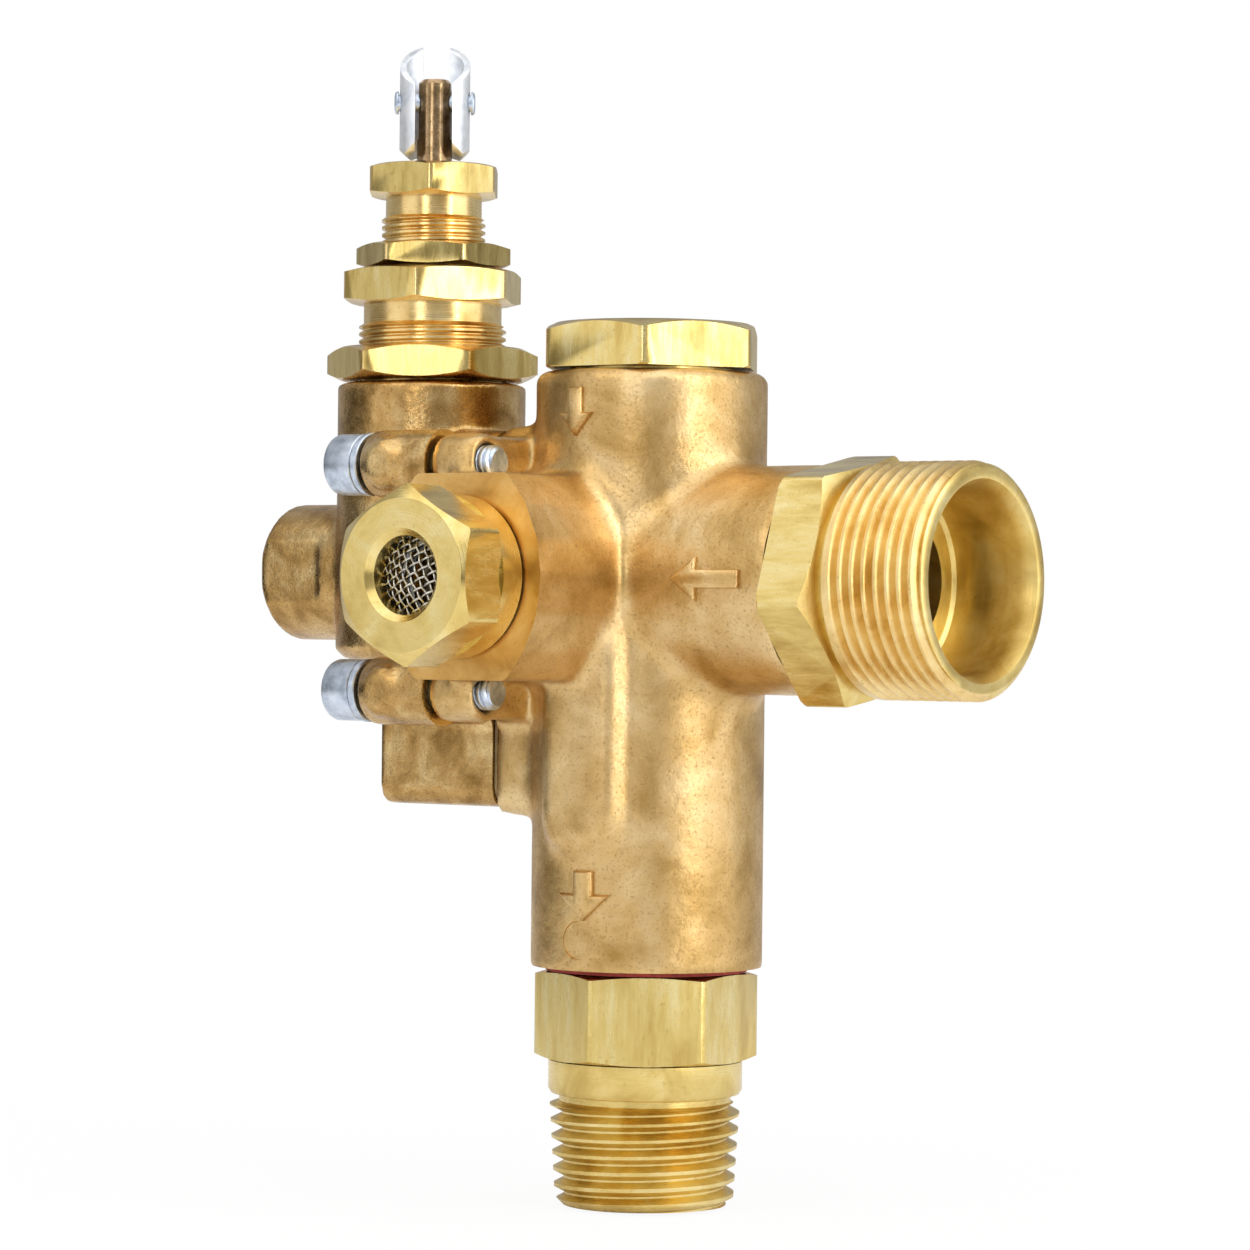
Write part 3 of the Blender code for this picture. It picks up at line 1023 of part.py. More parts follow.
def make_pilot_stack(brass):
    """Lower locknut, pressure screw, upper locknut and differential screw."""
    def axis_turn(turn):
        return frame_at((PILOT_AXIS_X, 0, PORT_Z), ALONG_Z, turn)

    low = PILOT_TUBE_TOP + JOINT_GAP
    lower = nut_profile(LOWER_NUT_AF, PRESSURE_SCREW_R + THREAD_GAP, low,
                        low + LOWER_NUT_HEIGHT, 0.9 * MM)
    hex_piece("lower_locknut", lower, brass, LOWER_NUT_AF, low - 0.1 * MM,
              low + LOWER_NUT_HEIGHT + 0.1 * MM, axis_turn(LOWER_NUT_TURN))

    inner = DIFFERENTIAL_R + THREAD_GAP
    hex_high = PRESSURE_HEX_LOW + PRESSURE_HEX_HEIGHT
    corner = hex_corner_r(PRESSURE_HEX_AF)
    flat_r = PRESSURE_HEX_AF / 2 - HEX_FACE_INSET
    thread_top = PRESSURE_HEX_LOW - PRESSURE_SHOULDER_HEIGHT
    end = PILOT_TUBE_TOP - PRESSURE_SCREW_ENGAGED
    chamfer = 0.9 * MM
    profile = [(inner, hex_high), (flat_r, hex_high), (corner, hex_high - chamfer),
               (corner, PRESSURE_HEX_LOW + 0.6 * MM), (flat_r, PRESSURE_HEX_LOW),
               (PRESSURE_SHOULDER_R, PRESSURE_HEX_LOW), (PRESSURE_SHOULDER_R, thread_top),
               (PRESSURE_SCREW_R, thread_top), (PRESSURE_SCREW_R, end), (inner, end)]
    hex_piece("pressure_screw", profile, brass, PRESSURE_HEX_AF, PRESSURE_HEX_LOW,
              hex_high + 0.1 * MM, axis_turn(PRESSURE_HEX_TURN))

    nut_low = hex_high + JOINT_GAP
    upper = nut_profile(UPPER_NUT_AF, DIFFERENTIAL_R + THREAD_GAP, nut_low,
                        nut_low + UPPER_NUT_HEIGHT, 0.6 * MM)
    hex_piece("upper_locknut", upper, brass, UPPER_NUT_AF, nut_low - 0.1 * MM,
              nut_low + UPPER_NUT_HEIGHT + 0.1 * MM, axis_turn(UPPER_NUT_TURN))

    bore = STEM_R + SLIDE_GAP
    hex_high = DIFFERENTIAL_HEX_LOW + DIFFERENTIAL_HEX_HEIGHT
    corner = hex_corner_r(DIFFERENTIAL_HEX_AF)
    flat_r = DIFFERENTIAL_HEX_AF / 2 - HEX_FACE_INSET
    shoulder = DIFFERENTIAL_HEX_LOW - DIFFERENTIAL_SHOULDER_HEIGHT
    end = differential_end()
    profile = [(bore, hex_high), (flat_r, hex_high), (corner, hex_high - 0.7 * MM),
               (corner, DIFFERENTIAL_HEX_LOW + 0.4 * MM), (flat_r, DIFFERENTIAL_HEX_LOW),
               (DIFFERENTIAL_SHOULDER_R, DIFFERENTIAL_HEX_LOW),
               (DIFFERENTIAL_SHOULDER_R, shoulder), (DIFFERENTIAL_R, shoulder),
               (DIFFERENTIAL_R, end), (bore, end)]
    hex_piece("differential_screw", profile, brass, DIFFERENTIAL_HEX_AF, DIFFERENTIAL_HEX_LOW,
              hex_high + 0.1 * MM, axis_turn(DIFFERENTIAL_HEX_TURN), MEDIUM_STEPS)


def differential_end():
    return PRESSURE_HEX_LOW + PRESSURE_HEX_HEIGHT - DIFFERENTIAL_ENGAGED


def make_pilot_inside(brass, steel):
    """Seat, ball, stem, spring seat and spring, on the pilot axis. The toggle stands up, so
    the stem is lifted off the ball."""
    centre = frame_at((PILOT_AXIS_X, 0, PORT_Z))
    pocket_low = PILOT_TUBE_TOP - PILOT_CHAMBER_DEPTH - SEAT_POCKET_DEPTH
    seat_low = pocket_low + THIN_GAP
    seat_high = seat_low + SEAT_HEIGHT
    cone = 0.9 * MM
    profile = [(SEAT_HOLE_R + cone, seat_high), (SEAT_R, seat_high), (SEAT_R, seat_low),
               (SEAT_HOLE_R, seat_low), (SEAT_HOLE_R, seat_high - cone)]
    add_object("pilot_seat", turned_mesh("pilot_seat", profile, MEDIUM_STEPS), brass, centre)

    # A ball in a cone of 45 degrees touches it where its own slope is 45 degrees
    cone_apex = seat_high - cone - SEAT_HOLE_R
    ball_z = cone_apex + BALL_R * math.sqrt(2) + THIN_GAP
    arc = 2 * ARC_STEPS
    ball = [(0, BALL_R)]
    ball += [(BALL_R * math.sin(math.pi * k / arc), BALL_R * math.cos(math.pi * k / arc))
             for k in range(1, arc)]
    ball.append((0, -BALL_R))
    add_object("pilot_ball", turned_mesh("pilot_ball", ball, MEDIUM_STEPS), steel,
               frame_at((PILOT_AXIS_X, 0, PORT_Z + ball_z)))

    nose_z = ball_z + BALL_R + BALL_LIFT + STEM_LIFT + THIN_GAP
    seat_z = nose_z + 0.6 * MM
    top = STEM_TOP
    stem = [(0, top), (STEM_R - STEM_CHAMFER, top), (STEM_R, top - STEM_CHAMFER),
            (STEM_R, nose_z), (0, nose_z)]
    rod = add_object("pilot_stem", turned_mesh("pilot_stem", stem, MEDIUM_STEPS), brass, centre)
    for side in (-1, 1):
        near = STEM_FLATS / 2
        low_x, high_x = sorted((side * near, side * (STEM_R + MM)))
        cut(rod, block_mesh(f"side_{'a' if side < 0 else 'b'}",
                            (low_x, -STEM_R - MM, top - STEM_FLAT_LENGTH),
                            (high_x, STEM_R + MM, top + MM)),
            frame_at((PILOT_AXIS_X, 0, PORT_Z), ALONG_Z, TOGGLE_TURN))
    pin_line = toggle_axis()
    cut(rod, rod_mesh("pin_hole", PIN_R + THIN_GAP, -2 * STEM_R, 2 * STEM_R, SMALL_STEPS),
        frame_at((PILOT_AXIS_X, 0, PORT_Z + TOGGLE_PIVOT_Z), pin_line))

    hub_r = STEM_R + THIN_GAP
    plate_high = seat_z + SPRING_SEAT_HEIGHT
    hub_high = plate_high + SPRING_SEAT_HUB_HEIGHT
    profile = [(hub_r, hub_high), (SPRING_SEAT_HUB_R, hub_high), (SPRING_SEAT_HUB_R, plate_high),
               (SPRING_SEAT_R, plate_high), (SPRING_SEAT_R, seat_z), (hub_r, seat_z)]
    add_object("spring_seat", turned_mesh("spring_seat", profile, MEDIUM_STEPS), brass, centre)
    coil_object("pilot_spring", PILOT_SPRING_R, PILOT_SPRING_WIRE_R, PILOT_SPRING_TURNS,
                plate_high + THIN_GAP, differential_end() - THIN_GAP, steel, centre)


def toggle_axis():
    return Vector((math.cos(math.radians(TOGGLE_TURN)), math.sin(math.radians(TOGGLE_TURN)), 0))


def make_toggle(zinc, steel):
    """Lever of slotted tube, open towards the front, its foot rounded as the cam that rides
    on the differential screw; local X is the pin, local -Y the open side."""
    pivot = (PILOT_AXIS_X, 0, PORT_Z + TOGGLE_PIVOT_Z)
    placement = frame_at(pivot, ALONG_Z, TOGGLE_TURN)
    inner = TOGGLE_R - TOGGLE_WALL
    tube = turned_mesh("toggle_lever", [(inner, TOGGLE_TIP), (TOGGLE_R, TOGGLE_TIP),
                                        (TOGGLE_R, -TOGGLE_FOOT), (inner, -TOGGLE_FOOT)],
                       MEDIUM_STEPS)
    lever = add_object("toggle_lever", tube, zinc, placement)
    wide = TOGGLE_R + MM

    # Side outline: sloping tip, round cam foot
    cam_z = TOGGLE_CAM_R - TOGGLE_FOOT
    arc = 2 * ARC_STEPS
    outline = [(wide, TOGGLE_TIP - TOGGLE_TIP_SLOPE * (wide + TOGGLE_R)),
               (-wide, TOGGLE_TIP + TOGGLE_TIP_SLOPE * (wide - TOGGLE_R)), (-wide, cam_z)]
    for k in range(arc + 1):
        angle = math.pi + math.pi * k / arc
        stretch = wide / TOGGLE_CAM_R if math.cos(angle) < 0 else 1.0
        outline.append((TOGGLE_CAM_R * math.cos(angle) * stretch,
                        cam_z + TOGGLE_CAM_R * math.sin(angle)))
    outline.append((wide, cam_z))
    outline = [point for k, point in enumerate(outline)
               if math.dist(point, outline[k - 1]) > 0.01 * MM]
    side_view = prism_mesh("side_view", outline, -wide, wide)
    to_side = placement @ Matrix(((0, 0, -1, 0), (-1, 0, 0, 0), (0, 1, 0, 0), (0, 0, 0, 1)))
    keep_within(lever, side_view, to_side)

    # Front outline: corners of the foot cut back
    half = TOGGLE_FOOT_WIDTH / 2
    rise = -TOGGLE_FOOT + TOGGLE_FOOT_CORNER
    front = [(-half, -TOGGLE_FOOT - MM), (half, -TOGGLE_FOOT - MM), (half, -TOGGLE_FOOT),
             (wide, rise), (wide, TOGGLE_TIP + MM), (-wide, TOGGLE_TIP + MM), (-wide, rise),
             (-half, -TOGGLE_FOOT)]
    to_front = placement @ Matrix(((1, 0, 0, 0), (0, 0, -1, 0), (0, 1, 0, 0), (0, 0, 0, 1)))
    keep_within(lever, prism_mesh("front_view", front, -wide, wide), to_front)

    cut(lever, block_mesh("front_slot", (-TOGGLE_FRONT_SLOT / 2, -wide, -TOGGLE_FOOT - MM),
                          (TOGGLE_FRONT_SLOT / 2, 0, TOGGLE_TIP + MM)), placement)
    cut(lever, block_mesh("back_slot", (-TOGGLE_BACK_SLOT / 2, 0, -0.5 * MM),
                          (TOGGLE_BACK_SLOT / 2, wide, TOGGLE_TIP + MM)), placement)
    across = frame_at(pivot, toggle_axis())
    cut(lever, rod_mesh("pin_holes", PIN_R + THIN_GAP, -wide, wide, SMALL_STEPS), across)

    head = TOGGLE_R + THIN_GAP
    end = head + PIN_HEAD_HEIGHT
    edge = 0.12 * MM
    profile = [(0, end), (PIN_HEAD_R - edge, end), (PIN_HEAD_R, end - edge), (PIN_HEAD_R, head),
               (PIN_R, head), (PIN_R, -head), (PIN_HEAD_R, -head), (PIN_HEAD_R, -end + edge),
               (PIN_HEAD_R - edge, -end), (0, -end)]
    add_object("toggle_pin", turned_mesh("toggle_pin", profile, SMALL_STEPS), steel, across)


def build():
    clear_scene()
    forged = make_material("forged_brass", (0.552, 0.352, 0.138), 0.48, 1.0)
    turned = make_material("machined_brass", (0.752, 0.610, 0.191), 0.22, 1.0)
    zinc = make_material("zinc_plate", (0.720, 0.740, 0.780), 0.25, 1.0)
    stainless = make_material("stainless_wire", (0.600, 0.590, 0.560), 0.30, 1.0)
    spring_steel = make_material("spring_steel", (0.420, 0.420, 0.430), 0.35, 1.0)
    red_fibre = make_material("red_fibre", (0.350, 0.030, 0.022), 0.75, 0.0)
    nitrile = make_material("black_nitrile", (0.020, 0.020, 0.022), 0.60, 0.0)

    make_main_body(forged)
    make_top_plug(turned)
    make_outlet_nipple(turned)
    make_outlet_gasket(red_fibre)
    make_check_valve(turned, nitrile, spring_steel)
    make_inlet_adapter(turned)
    make_exhaust_fitting(turned)
    make_exhaust_screen(stainless)
    make_unloader(turned, nitrile, spring_steel)
    make_pilot_body(forged)
    make_pilot_gasket(nitrile)
    make_screws(zinc)
    make_pilot_stack(turned)
    make_pilot_inside(turned, spring_steel)
    make_toggle(zinc, stainless)


build()
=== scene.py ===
import math

import bpy
import bmesh
from mathutils import Matrix, Vector


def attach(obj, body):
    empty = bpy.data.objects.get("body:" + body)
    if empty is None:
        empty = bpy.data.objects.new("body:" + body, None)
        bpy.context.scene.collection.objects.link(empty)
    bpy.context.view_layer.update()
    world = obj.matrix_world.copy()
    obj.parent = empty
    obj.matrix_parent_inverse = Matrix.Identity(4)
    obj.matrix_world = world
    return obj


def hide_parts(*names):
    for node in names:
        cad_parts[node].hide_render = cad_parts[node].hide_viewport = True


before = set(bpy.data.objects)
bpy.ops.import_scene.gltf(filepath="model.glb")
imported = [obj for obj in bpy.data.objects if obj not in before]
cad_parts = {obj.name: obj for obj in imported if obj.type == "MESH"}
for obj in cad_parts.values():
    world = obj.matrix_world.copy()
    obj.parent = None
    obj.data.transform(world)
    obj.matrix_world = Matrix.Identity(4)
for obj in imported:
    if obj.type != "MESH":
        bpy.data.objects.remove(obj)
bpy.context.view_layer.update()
print("frame loaded")

mm = 0.001
upAxis = Vector((0, 0, 1))
portHeight = 70.4 * mm      # inlet and exhaust axes above the outlet end
pilotX = -31.9 * mm         # axis of the pilot valve
exhaustX = -5.65 * mm       # axis of the exhaust branch
threadPhase = math.radians(2.3)     # where the threads start round their axis


# Node materials

def toLinear(hexColour):
    channels = [int(hexColour[k:k + 2], 16) / 255 for k in (1, 3, 5)]
    return [c / 12.92 if c <= 0.04045 else ((c + 0.055) / 1.055) ** 2.4 for c in channels] + [1.0]


def addNode(tree, kind, settings=None, links=None):
    node = tree.nodes.new(kind)
    for key, value in (settings or {}).items():
        if hasattr(node, key) and not key[0].isupper():
            setattr(node, key, value)
        else:
            node.inputs[key].default_value = value
    for key, source in (links or {}).items():
        tree.links.new(source, node.inputs[key])
    return node


def ramp(tree, source, stops):
    node = addNode(tree, "ShaderNodeValToRGB", {}, {"Fac": source})
    points = node.color_ramp.elements
    while len(points) < len(stops):
        points.new(0.5)
    for point, (place, colour) in zip(points, stops):
        point.position = place
        point.color = toLinear(colour) if isinstance(colour, str) else (colour, colour, colour, 1)
    return node.outputs["Color"]


def startMaterial(name, shader):
    material = bpy.data.materials.new(name)
    material.use_nodes = True
    tree = material.node_tree
    principled = tree.nodes["Principled BSDF"]
    for key, value in shader.items():
        principled.inputs[key].default_value = value
    place = addNode(tree, "ShaderNodeTexCoord").outputs["Object"]
    return material, tree, principled, place


# Noise whose blobs are about sizeMm across
def noiseOn(tree, place, sizeMm, detail=3.0, roughness=0.55, distortion=0.0):
    return addNode(tree, "ShaderNodeTexNoise",
                   {"Scale": 1 / (sizeMm * mm), "Detail": detail, "Roughness": roughness,
                    "Distortion": distortion}, {"Vector": place}).outputs["Fac"]


def mixColour(tree, fac, first, second, blend="MIX"):
    node = addNode(tree, "ShaderNodeMix", {"data_type": "RGBA", "blend_type": blend})
    for index, value in ((0, fac), (6, first), (7, second)):
        if isinstance(value, bpy.types.NodeSocket):
            tree.links.new(value, node.inputs[index])
        else:
            node.inputs[index].default_value = value
    return node.outputs[2]


def math2(tree, operation, first, second):
    node = addNode(tree, "ShaderNodeMath", {"operation": operation})
    for index, value in ((0, first), (1, second)):
        if isinstance(value, bpy.types.NodeSocket):
            tree.links.new(value, node.inputs[index])
        else:
            node.inputs[index].default_value = value
    return node.outputs[0]


def mapTo(tree, source, low, high, outLow, outHigh):
    return addNode(tree, "ShaderNodeMapRange",
                   {"From Min": low, "From Max": high, "To Min": outLow, "To Max": outHigh},
                   {"Value": source}).outputs["Result"]


# Hot-forged and shot-blasted brass: warm tan, a fine grain of dents, darker oxide in the pits
bodyLook = {"mid": "#CFAC72", "pale": "#E7CB98", "deep": "#A98548", "oxide": "#7F6033", "matt": 0.46,
            "shine": 0.28, "grainMm": 0.32, "dentMm": 1.1, "waveMm": 3.4, "cloudMm": 8.0}
pilotLook = {"mid": "#C09A60", "pale": "#E2C48C", "deep": "#94703C", "oxide": "#5F4624", "matt": 0.34,
             "shine": 0.20, "grainMm": 0.32, "dentMm": 1.3, "waveMm": 3.0, "cloudMm": 4.5}


def forgedBrass(name, look):
    material, tree, shader, place = startMaterial(name, {"Metallic": 1.0, "Roughness": look["matt"]})
    grain = noiseOn(tree, place, look["grainMm"], 4.0, 0.62)
    dents = noiseOn(tree, place, look["dentMm"], 2.0, 0.5)
    waves = noiseOn(tree, place, look["waveMm"], 2.0, 0.5)
    cloud = noiseOn(tree, place, look["cloudMm"], 4.0, 0.6, 0.4)
    base = ramp(tree, cloud, [(0.30, look["deep"]), (0.50, look["mid"]), (0.72, look["pale"])])
    pits = ramp(tree, grain, [(0.30, 0.0), (0.46, 1.0)])
    base = mixColour(tree, mapTo(tree, pits, 0, 1, 0.5, 0.0), base, toLinear(look["oxide"]))
    tree.links.new(base, shader.inputs["Base Color"])
    tree.links.new(mapTo(tree, grain, 0.3, 0.7, look["matt"], look["shine"]), shader.inputs["Roughness"])
    height = math2(tree, "ADD", math2(tree, "MULTIPLY", grain, 0.7), math2(tree, "MULTIPLY", dents, 1.1))
    height = math2(tree, "ADD", height, math2(tree, "MULTIPLY", waves, 2.4))
    bump = addNode(tree, "ShaderNodeBump", {"Strength": 0.7, "Distance": 0.06 * mm},
                   {"Height": height})
    tree.links.new(bump.outputs["Normal"], shader.inputs["Normal"])
    return material


def turnedBrass(name, axis, centre, colours, grooveMm=0.16, strength=0.35, matt=0.14):
    # free-cutting brass off a lathe: bright yellow, with fine tool marks round its axis
    material, tree, shader, place = startMaterial(name, {"Metallic": 1.0, "Roughness": 0.2})
    moved = addNode(tree, "ShaderNodeVectorMath", {"operation": "SUBTRACT"}, {0: place})
    moved.inputs[1].default_value = centre
    parts = addNode(tree, "ShaderNodeSeparateXYZ", {}, {0: moved.outputs[0]}).outputs
    along = parts[axis]
    across = [parts[k] for k in range(3) if k != axis]
    squares = [math2(tree, "POWER", math2(tree, "ABSOLUTE", side, 0.0), 2.0) for side in across]
    radius = math2(tree, "SQRT", math2(tree, "ADD", squares[0], squares[1]), 0.0)
    rings = addNode(tree, "ShaderNodeCombineXYZ", {}, {0: radius, 1: along}).outputs[0]
    marks = noiseOn(tree, rings, grooveMm, 2.0, 0.6)
    wide = noiseOn(tree, rings, grooveMm * 9, 2.0, 0.5)
    cloud = noiseOn(tree, place, 6.0, 4.0, 0.62, 0.5)
    specks = noiseOn(tree, place, 0.7, 3.0, 0.7)
    base = ramp(tree, cloud, [(0.30, colours["deep"]), (0.50, colours["mid"]), (0.70, colours["pale"])])
    base = mixColour(tree, mapTo(tree, specks, 0.62, 0.74, 0.0, 0.45), base, toLinear(colours["stain"]))
    tree.links.new(base, shader.inputs["Base Color"])
    rough = math2(tree, "ADD", mapTo(tree, marks, 0.3, 0.7, matt, matt + 0.12),
                  mapTo(tree, cloud, 0.3, 0.7, 0.0, 0.08))
    tree.links.new(rough, shader.inputs["Roughness"])
    height = math2(tree, "ADD", marks, math2(tree, "MULTIPLY", wide, 1.6))
    bump = addNode(tree, "ShaderNodeBump", {"Strength": strength, "Distance": 0.02 * mm},
                   {"Height": height})
    tree.links.new(bump.outputs["Normal"], shader.inputs["Normal"])
    return material


def drawnBrass(name, axis, colours):
    # flats of drawn hexagon bar: mirror-like with long faint draw lines and handling stains
    material, tree, shader, place = startMaterial(name, {"Metallic": 1.0, "Roughness": 0.2})
    lengthened = []
    for share in (0.06, 0.22):
        squeeze = [share if k == axis else 1.0 for k in range(3)]
        mapped = addNode(tree, "ShaderNodeMapping", {"vector_type": "POINT", "Scale": squeeze}, {"Vector": place})
        lengthened.append(mapped.outputs[0])
    lines = noiseOn(tree, lengthened[0], 0.22, 3.0, 0.6)
    cloud = noiseOn(tree, lengthened[1], 2.4, 5.0, 0.62, 0.2)
    specks = noiseOn(tree, place, 0.55, 3.0, 0.7)
    base = ramp(tree, cloud, [(0.34, colours["deep"]), (0.50, colours["mid"]), (0.66, colours["pale"])])
    base = mixColour(tree, mapTo(tree, specks, 0.60, 0.74, 0.0, 0.5), base, toLinear(colours["stain"]))
    tree.links.new(base, shader.inputs["Base Color"])
    rough = math2(tree, "ADD", mapTo(tree, cloud, 0.3, 0.7, 0.13, 0.30), mapTo(tree, lines, 0.3, 0.7, 0.0, 0.06))
    tree.links.new(rough, shader.inputs["Roughness"])
    height = math2(tree, "ADD", math2(tree, "MULTIPLY", lines, 0.5), cloud)
    bump = addNode(tree, "ShaderNodeBump", {"Strength": 0.3, "Distance": 0.03 * mm},
                   {"Height": height})
    tree.links.new(bump.outputs["Normal"], shader.inputs["Normal"])
    return material


def platedMetal(name, colours, roughness, patternMm):
    # zinc plate or drawn steel: cool grey, slightly mottled
    material, tree, shader, place = startMaterial(name, {"Metallic": 1.0, "Roughness": roughness})
    mottle = noiseOn(tree, place, patternMm, 4.0, 0.6)
    fine = noiseOn(tree, place, patternMm * 0.15, 3.0, 0.6)
    base = ramp(tree, mottle, [(0.32, colours["deep"]), (0.52, colours["mid"]), (0.70, colours["pale"])])
    tree.links.new(base, shader.inputs["Base Color"])
    tree.links.new(mapTo(tree, fine, 0.3, 0.7, roughness - 0.06, roughness + 0.08), shader.inputs["Roughness"])
    bump = addNode(tree, "ShaderNodeBump", {"Strength": 0.2, "Distance": 0.01 * mm}, {"Height": fine})
    tree.links.new(bump.outputs["Normal"], shader.inputs["Normal"])
    return material


def sealMaterial(name, colours, roughness):
    # pressed fibre or moulded nitrile: dull, with a faint mottled skin
    material, tree, shader, place = startMaterial(name, {"Metallic": 0.0, "Roughness": roughness})
    mottle = noiseOn(tree, place, 0.8, 4.0, 0.6)
    tree.links.new(ramp(tree, mottle, [(0.3, colours["deep"]), (0.7, colours["pale"])]),
                   shader.inputs["Base Color"])
    bump = addNode(tree, "ShaderNodeBump", {"Strength": 0.3, "Distance": 0.02 * mm}, {"Height": mottle})
    tree.links.new(bump.outputs["Normal"], shader.inputs["Normal"])
    return material


brightColours = {"pale": "#EEDCA0", "mid": "#E2C87E", "deep": "#C9AB62", "stain": "#A5864A"}
goldColours = {"pale": "#F4DDA4", "mid": "#E8C989", "deep": "#CFA963", "stain": "#9C7840"}
facedColours = {"pale": "#E8C283", "mid": "#D8AA62", "deep": "#BD8D4A", "stain": "#96703A"}
# painted dark reflection: a darker olive copy of the drawn-brass colours, for the hex flats of the upper locknut and
# the differential screw
paintedDarkOliveColours = {"pale": "#D9C487", "mid": "#C4AD6C", "deep": "#A89152", "stain": "#86703A"}
portCentre = (0, 0, portHeight)
pilotCentre = (pilotX, 0, portHeight)
exhaustCentre = (exhaustX, 0, portHeight)
forged = forgedBrass("forgedBrassBody", bodyLook)
forgedPilot = forgedBrass("forgedBrassPilot", pilotLook)
turnedUp = turnedBrass("turnedBrassColumn", 2, (0, 0, 0), brightColours)
turnedInlet = turnedBrass("turnedBrassInlet", 0, portCentre, brightColours, 0.2, 0.5, 0.28)
facedBrass = turnedBrass("facedBrassBoss", 1, exhaustCentre, facedColours, 0.2, 0.4, 0.24)
turnedExhaust = turnedBrass("turnedBrassExhaust", 1, exhaustCentre, brightColours)
turnedPilot = turnedBrass("turnedBrassPilot", 2, pilotCentre, goldColours)
threadUp = turnedBrass("threadBrassOutlet", 2, (0, 0, 0), brightColours, 0.16, 0.35, 0.22)
threadInlet = turnedBrass("threadBrassInlet", 0, portCentre, goldColours, 0.16, 0.35, 0.22)
threadPilot = turnedBrass("threadBrassPilot", 2, pilotCentre, goldColours)
flatsUp = drawnBrass("drawnBrassUpright", 2, brightColours)
# drawn brass in the darker olive colours, a painted dark reflection on its hex flats
flatsOlive = drawnBrass("oliveBrassPaintedDarkReflection", 2, paintedDarkOliveColours)
flatsInlet = drawnBrass("drawnBrassInlet", 0, brightColours)
flatsExhaust = drawnBrass("drawnBrassExhaust", 1, brightColours)
zinc = platedMetal("zincPlate", {"pale": "#E2EAF6", "mid": "#CED8E6", "deep": "#A9B4C3"}, 0.34, 1.5)
brightZinc = platedMetal("brightZincSheet", {"pale": "#FCFDFF", "mid": "#F4F7FB", "deep": "#DCE2EA"}, 0.45, 1.8)
bronze = platedMetal("drawnBronzeRod", {"pale": "#C4A98C", "mid": "#A68A66", "deep": "#7F6848"}, 0.22, 2.0)
stainless = platedMetal("stainlessWire", {"pale": "#E0DDD4", "mid": "#C4C0B5", "deep": "#99948A"}, 0.26, 0.6)
springSteel = platedMetal("springSteel", {"pale": "#B9BBBE", "mid": "#9A9C9F", "deep": "#737578"}, 0.3, 0.8)
tanFibre = sealMaterial("tanFibre", {"pale": "#9A8358", "deep": "#6E5A38"}, 0.7)
redFibre = sealMaterial("redFibre", {"pale": "#A83A30", "deep": "#7A1F1A"}, 0.7)
nitrile = sealMaterial("blackNitrile", {"pale": "#2B2B2D", "deep": "#161618"}, 0.55)
print("materials made")


# Making pieces

def placeAt(origin, direction=upAxis, turn=0.0):
    tilt = upAxis.rotation_difference(Vector(direction)).to_matrix().to_4x4()
    return Matrix.Translation(Vector(origin)) @ tilt @ Matrix.Rotation(math.radians(turn), 4, "Z")


def bmObject(name, bm, materials):
    bmesh.ops.remove_doubles(bm, verts=bm.verts, dist=1e-7)
    bmesh.ops.recalc_face_normals(bm, faces=bm.faces)
    mesh = bpy.data.meshes.new(name)
    bm.to_mesh(mesh)
    bm.free()
    for material in materials:
        mesh.materials.append(material)
    piece = bpy.data.objects.new(name, mesh)
    bpy.context.scene.collection.objects.link(piece)
    return piece


def finishPiece(piece, body, replaced=None, angle=32):
    piece.data.shade_smooth()
    piece.data.set_sharp_from_angle(angle=math.radians(angle))
    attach(piece, body)
    if replaced:
        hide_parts(replaced)
    return piece


# Profile of (radius, height) in millimetres, spun about local Z and placed
def turned(profileMm, place, steps=96):
    bm = bmesh.new()
    points = [bm.verts.new((radius * mm, 0, height * mm)) for radius, height in profileMm]
    edges = [bm.edges.new(pair) for pair in zip(points, points[1:])]
    if profileMm[0][0] > 0:
        edges.append(bm.edges.new((points[-1], points[0])))
    bmesh.ops.spin(bm, geom=points + edges, cent=(0, 0, 0), axis=(0, 0, 1),
                   angle=math.tau, steps=steps, use_merge=True)
    bmesh.ops.remove_doubles(bm, verts=bm.verts, dist=1e-7)
    bmesh.ops.transform(bm, matrix=place, verts=bm.verts)
    return bm


def prism(outlineMm, low, high, place):
    bm = bmesh.new()
    face = bm.faces.new([bm.verts.new((x * mm, y * mm, low * mm)) for x, y in outlineMm])
    moved = bmesh.ops.extrude_face_region(bm, geom=[face])
    risen = [v for v in moved["geom"] if isinstance(v, bmesh.types.BMVert)]
    bmesh.ops.translate(bm, verts=risen, vec=(0, 0, (high - low) * mm))
    bmesh.ops.transform(bm, matrix=place, verts=bm.verts)
    return bm


def roundedHexagon(acrossFlats, cornerR, steps=4):
    outline = []
    reach = (acrossFlats / 2 - cornerR) / math.cos(math.pi / 6)
    for k in range(6):
        middle = k * math.pi / 3
        for j in range(steps + 1):
            angle = middle + (j / steps - 0.5) * math.pi / 3
            outline.append((reach * math.cos(middle) + cornerR * math.cos(angle),
                            reach * math.sin(middle) + cornerR * math.sin(angle)))
    return outline


def applyBoolean(piece, bm, operation="DIFFERENCE", solver="EXACT"):
    bmesh.ops.recalc_face_normals(bm, faces=bm.faces)
    tool = bmObject("tool", bm, [])
    modifier = piece.modifiers.new("cut", "BOOLEAN")
    modifier.operation = operation
    modifier.solver = solver
    modifier.object = tool
    applyModifiers(piece)
    bpy.data.objects.remove(tool, do_unlink=True)


def applyModifiers(piece):
    graph = bpy.context.evaluated_depsgraph_get()
    mesh = bpy.data.meshes.new_from_object(piece.evaluated_get(graph))
    old = piece.data
    piece.modifiers.clear()
    piece.data = mesh
    mesh.name = piece.name
    bpy.data.meshes.remove(old)


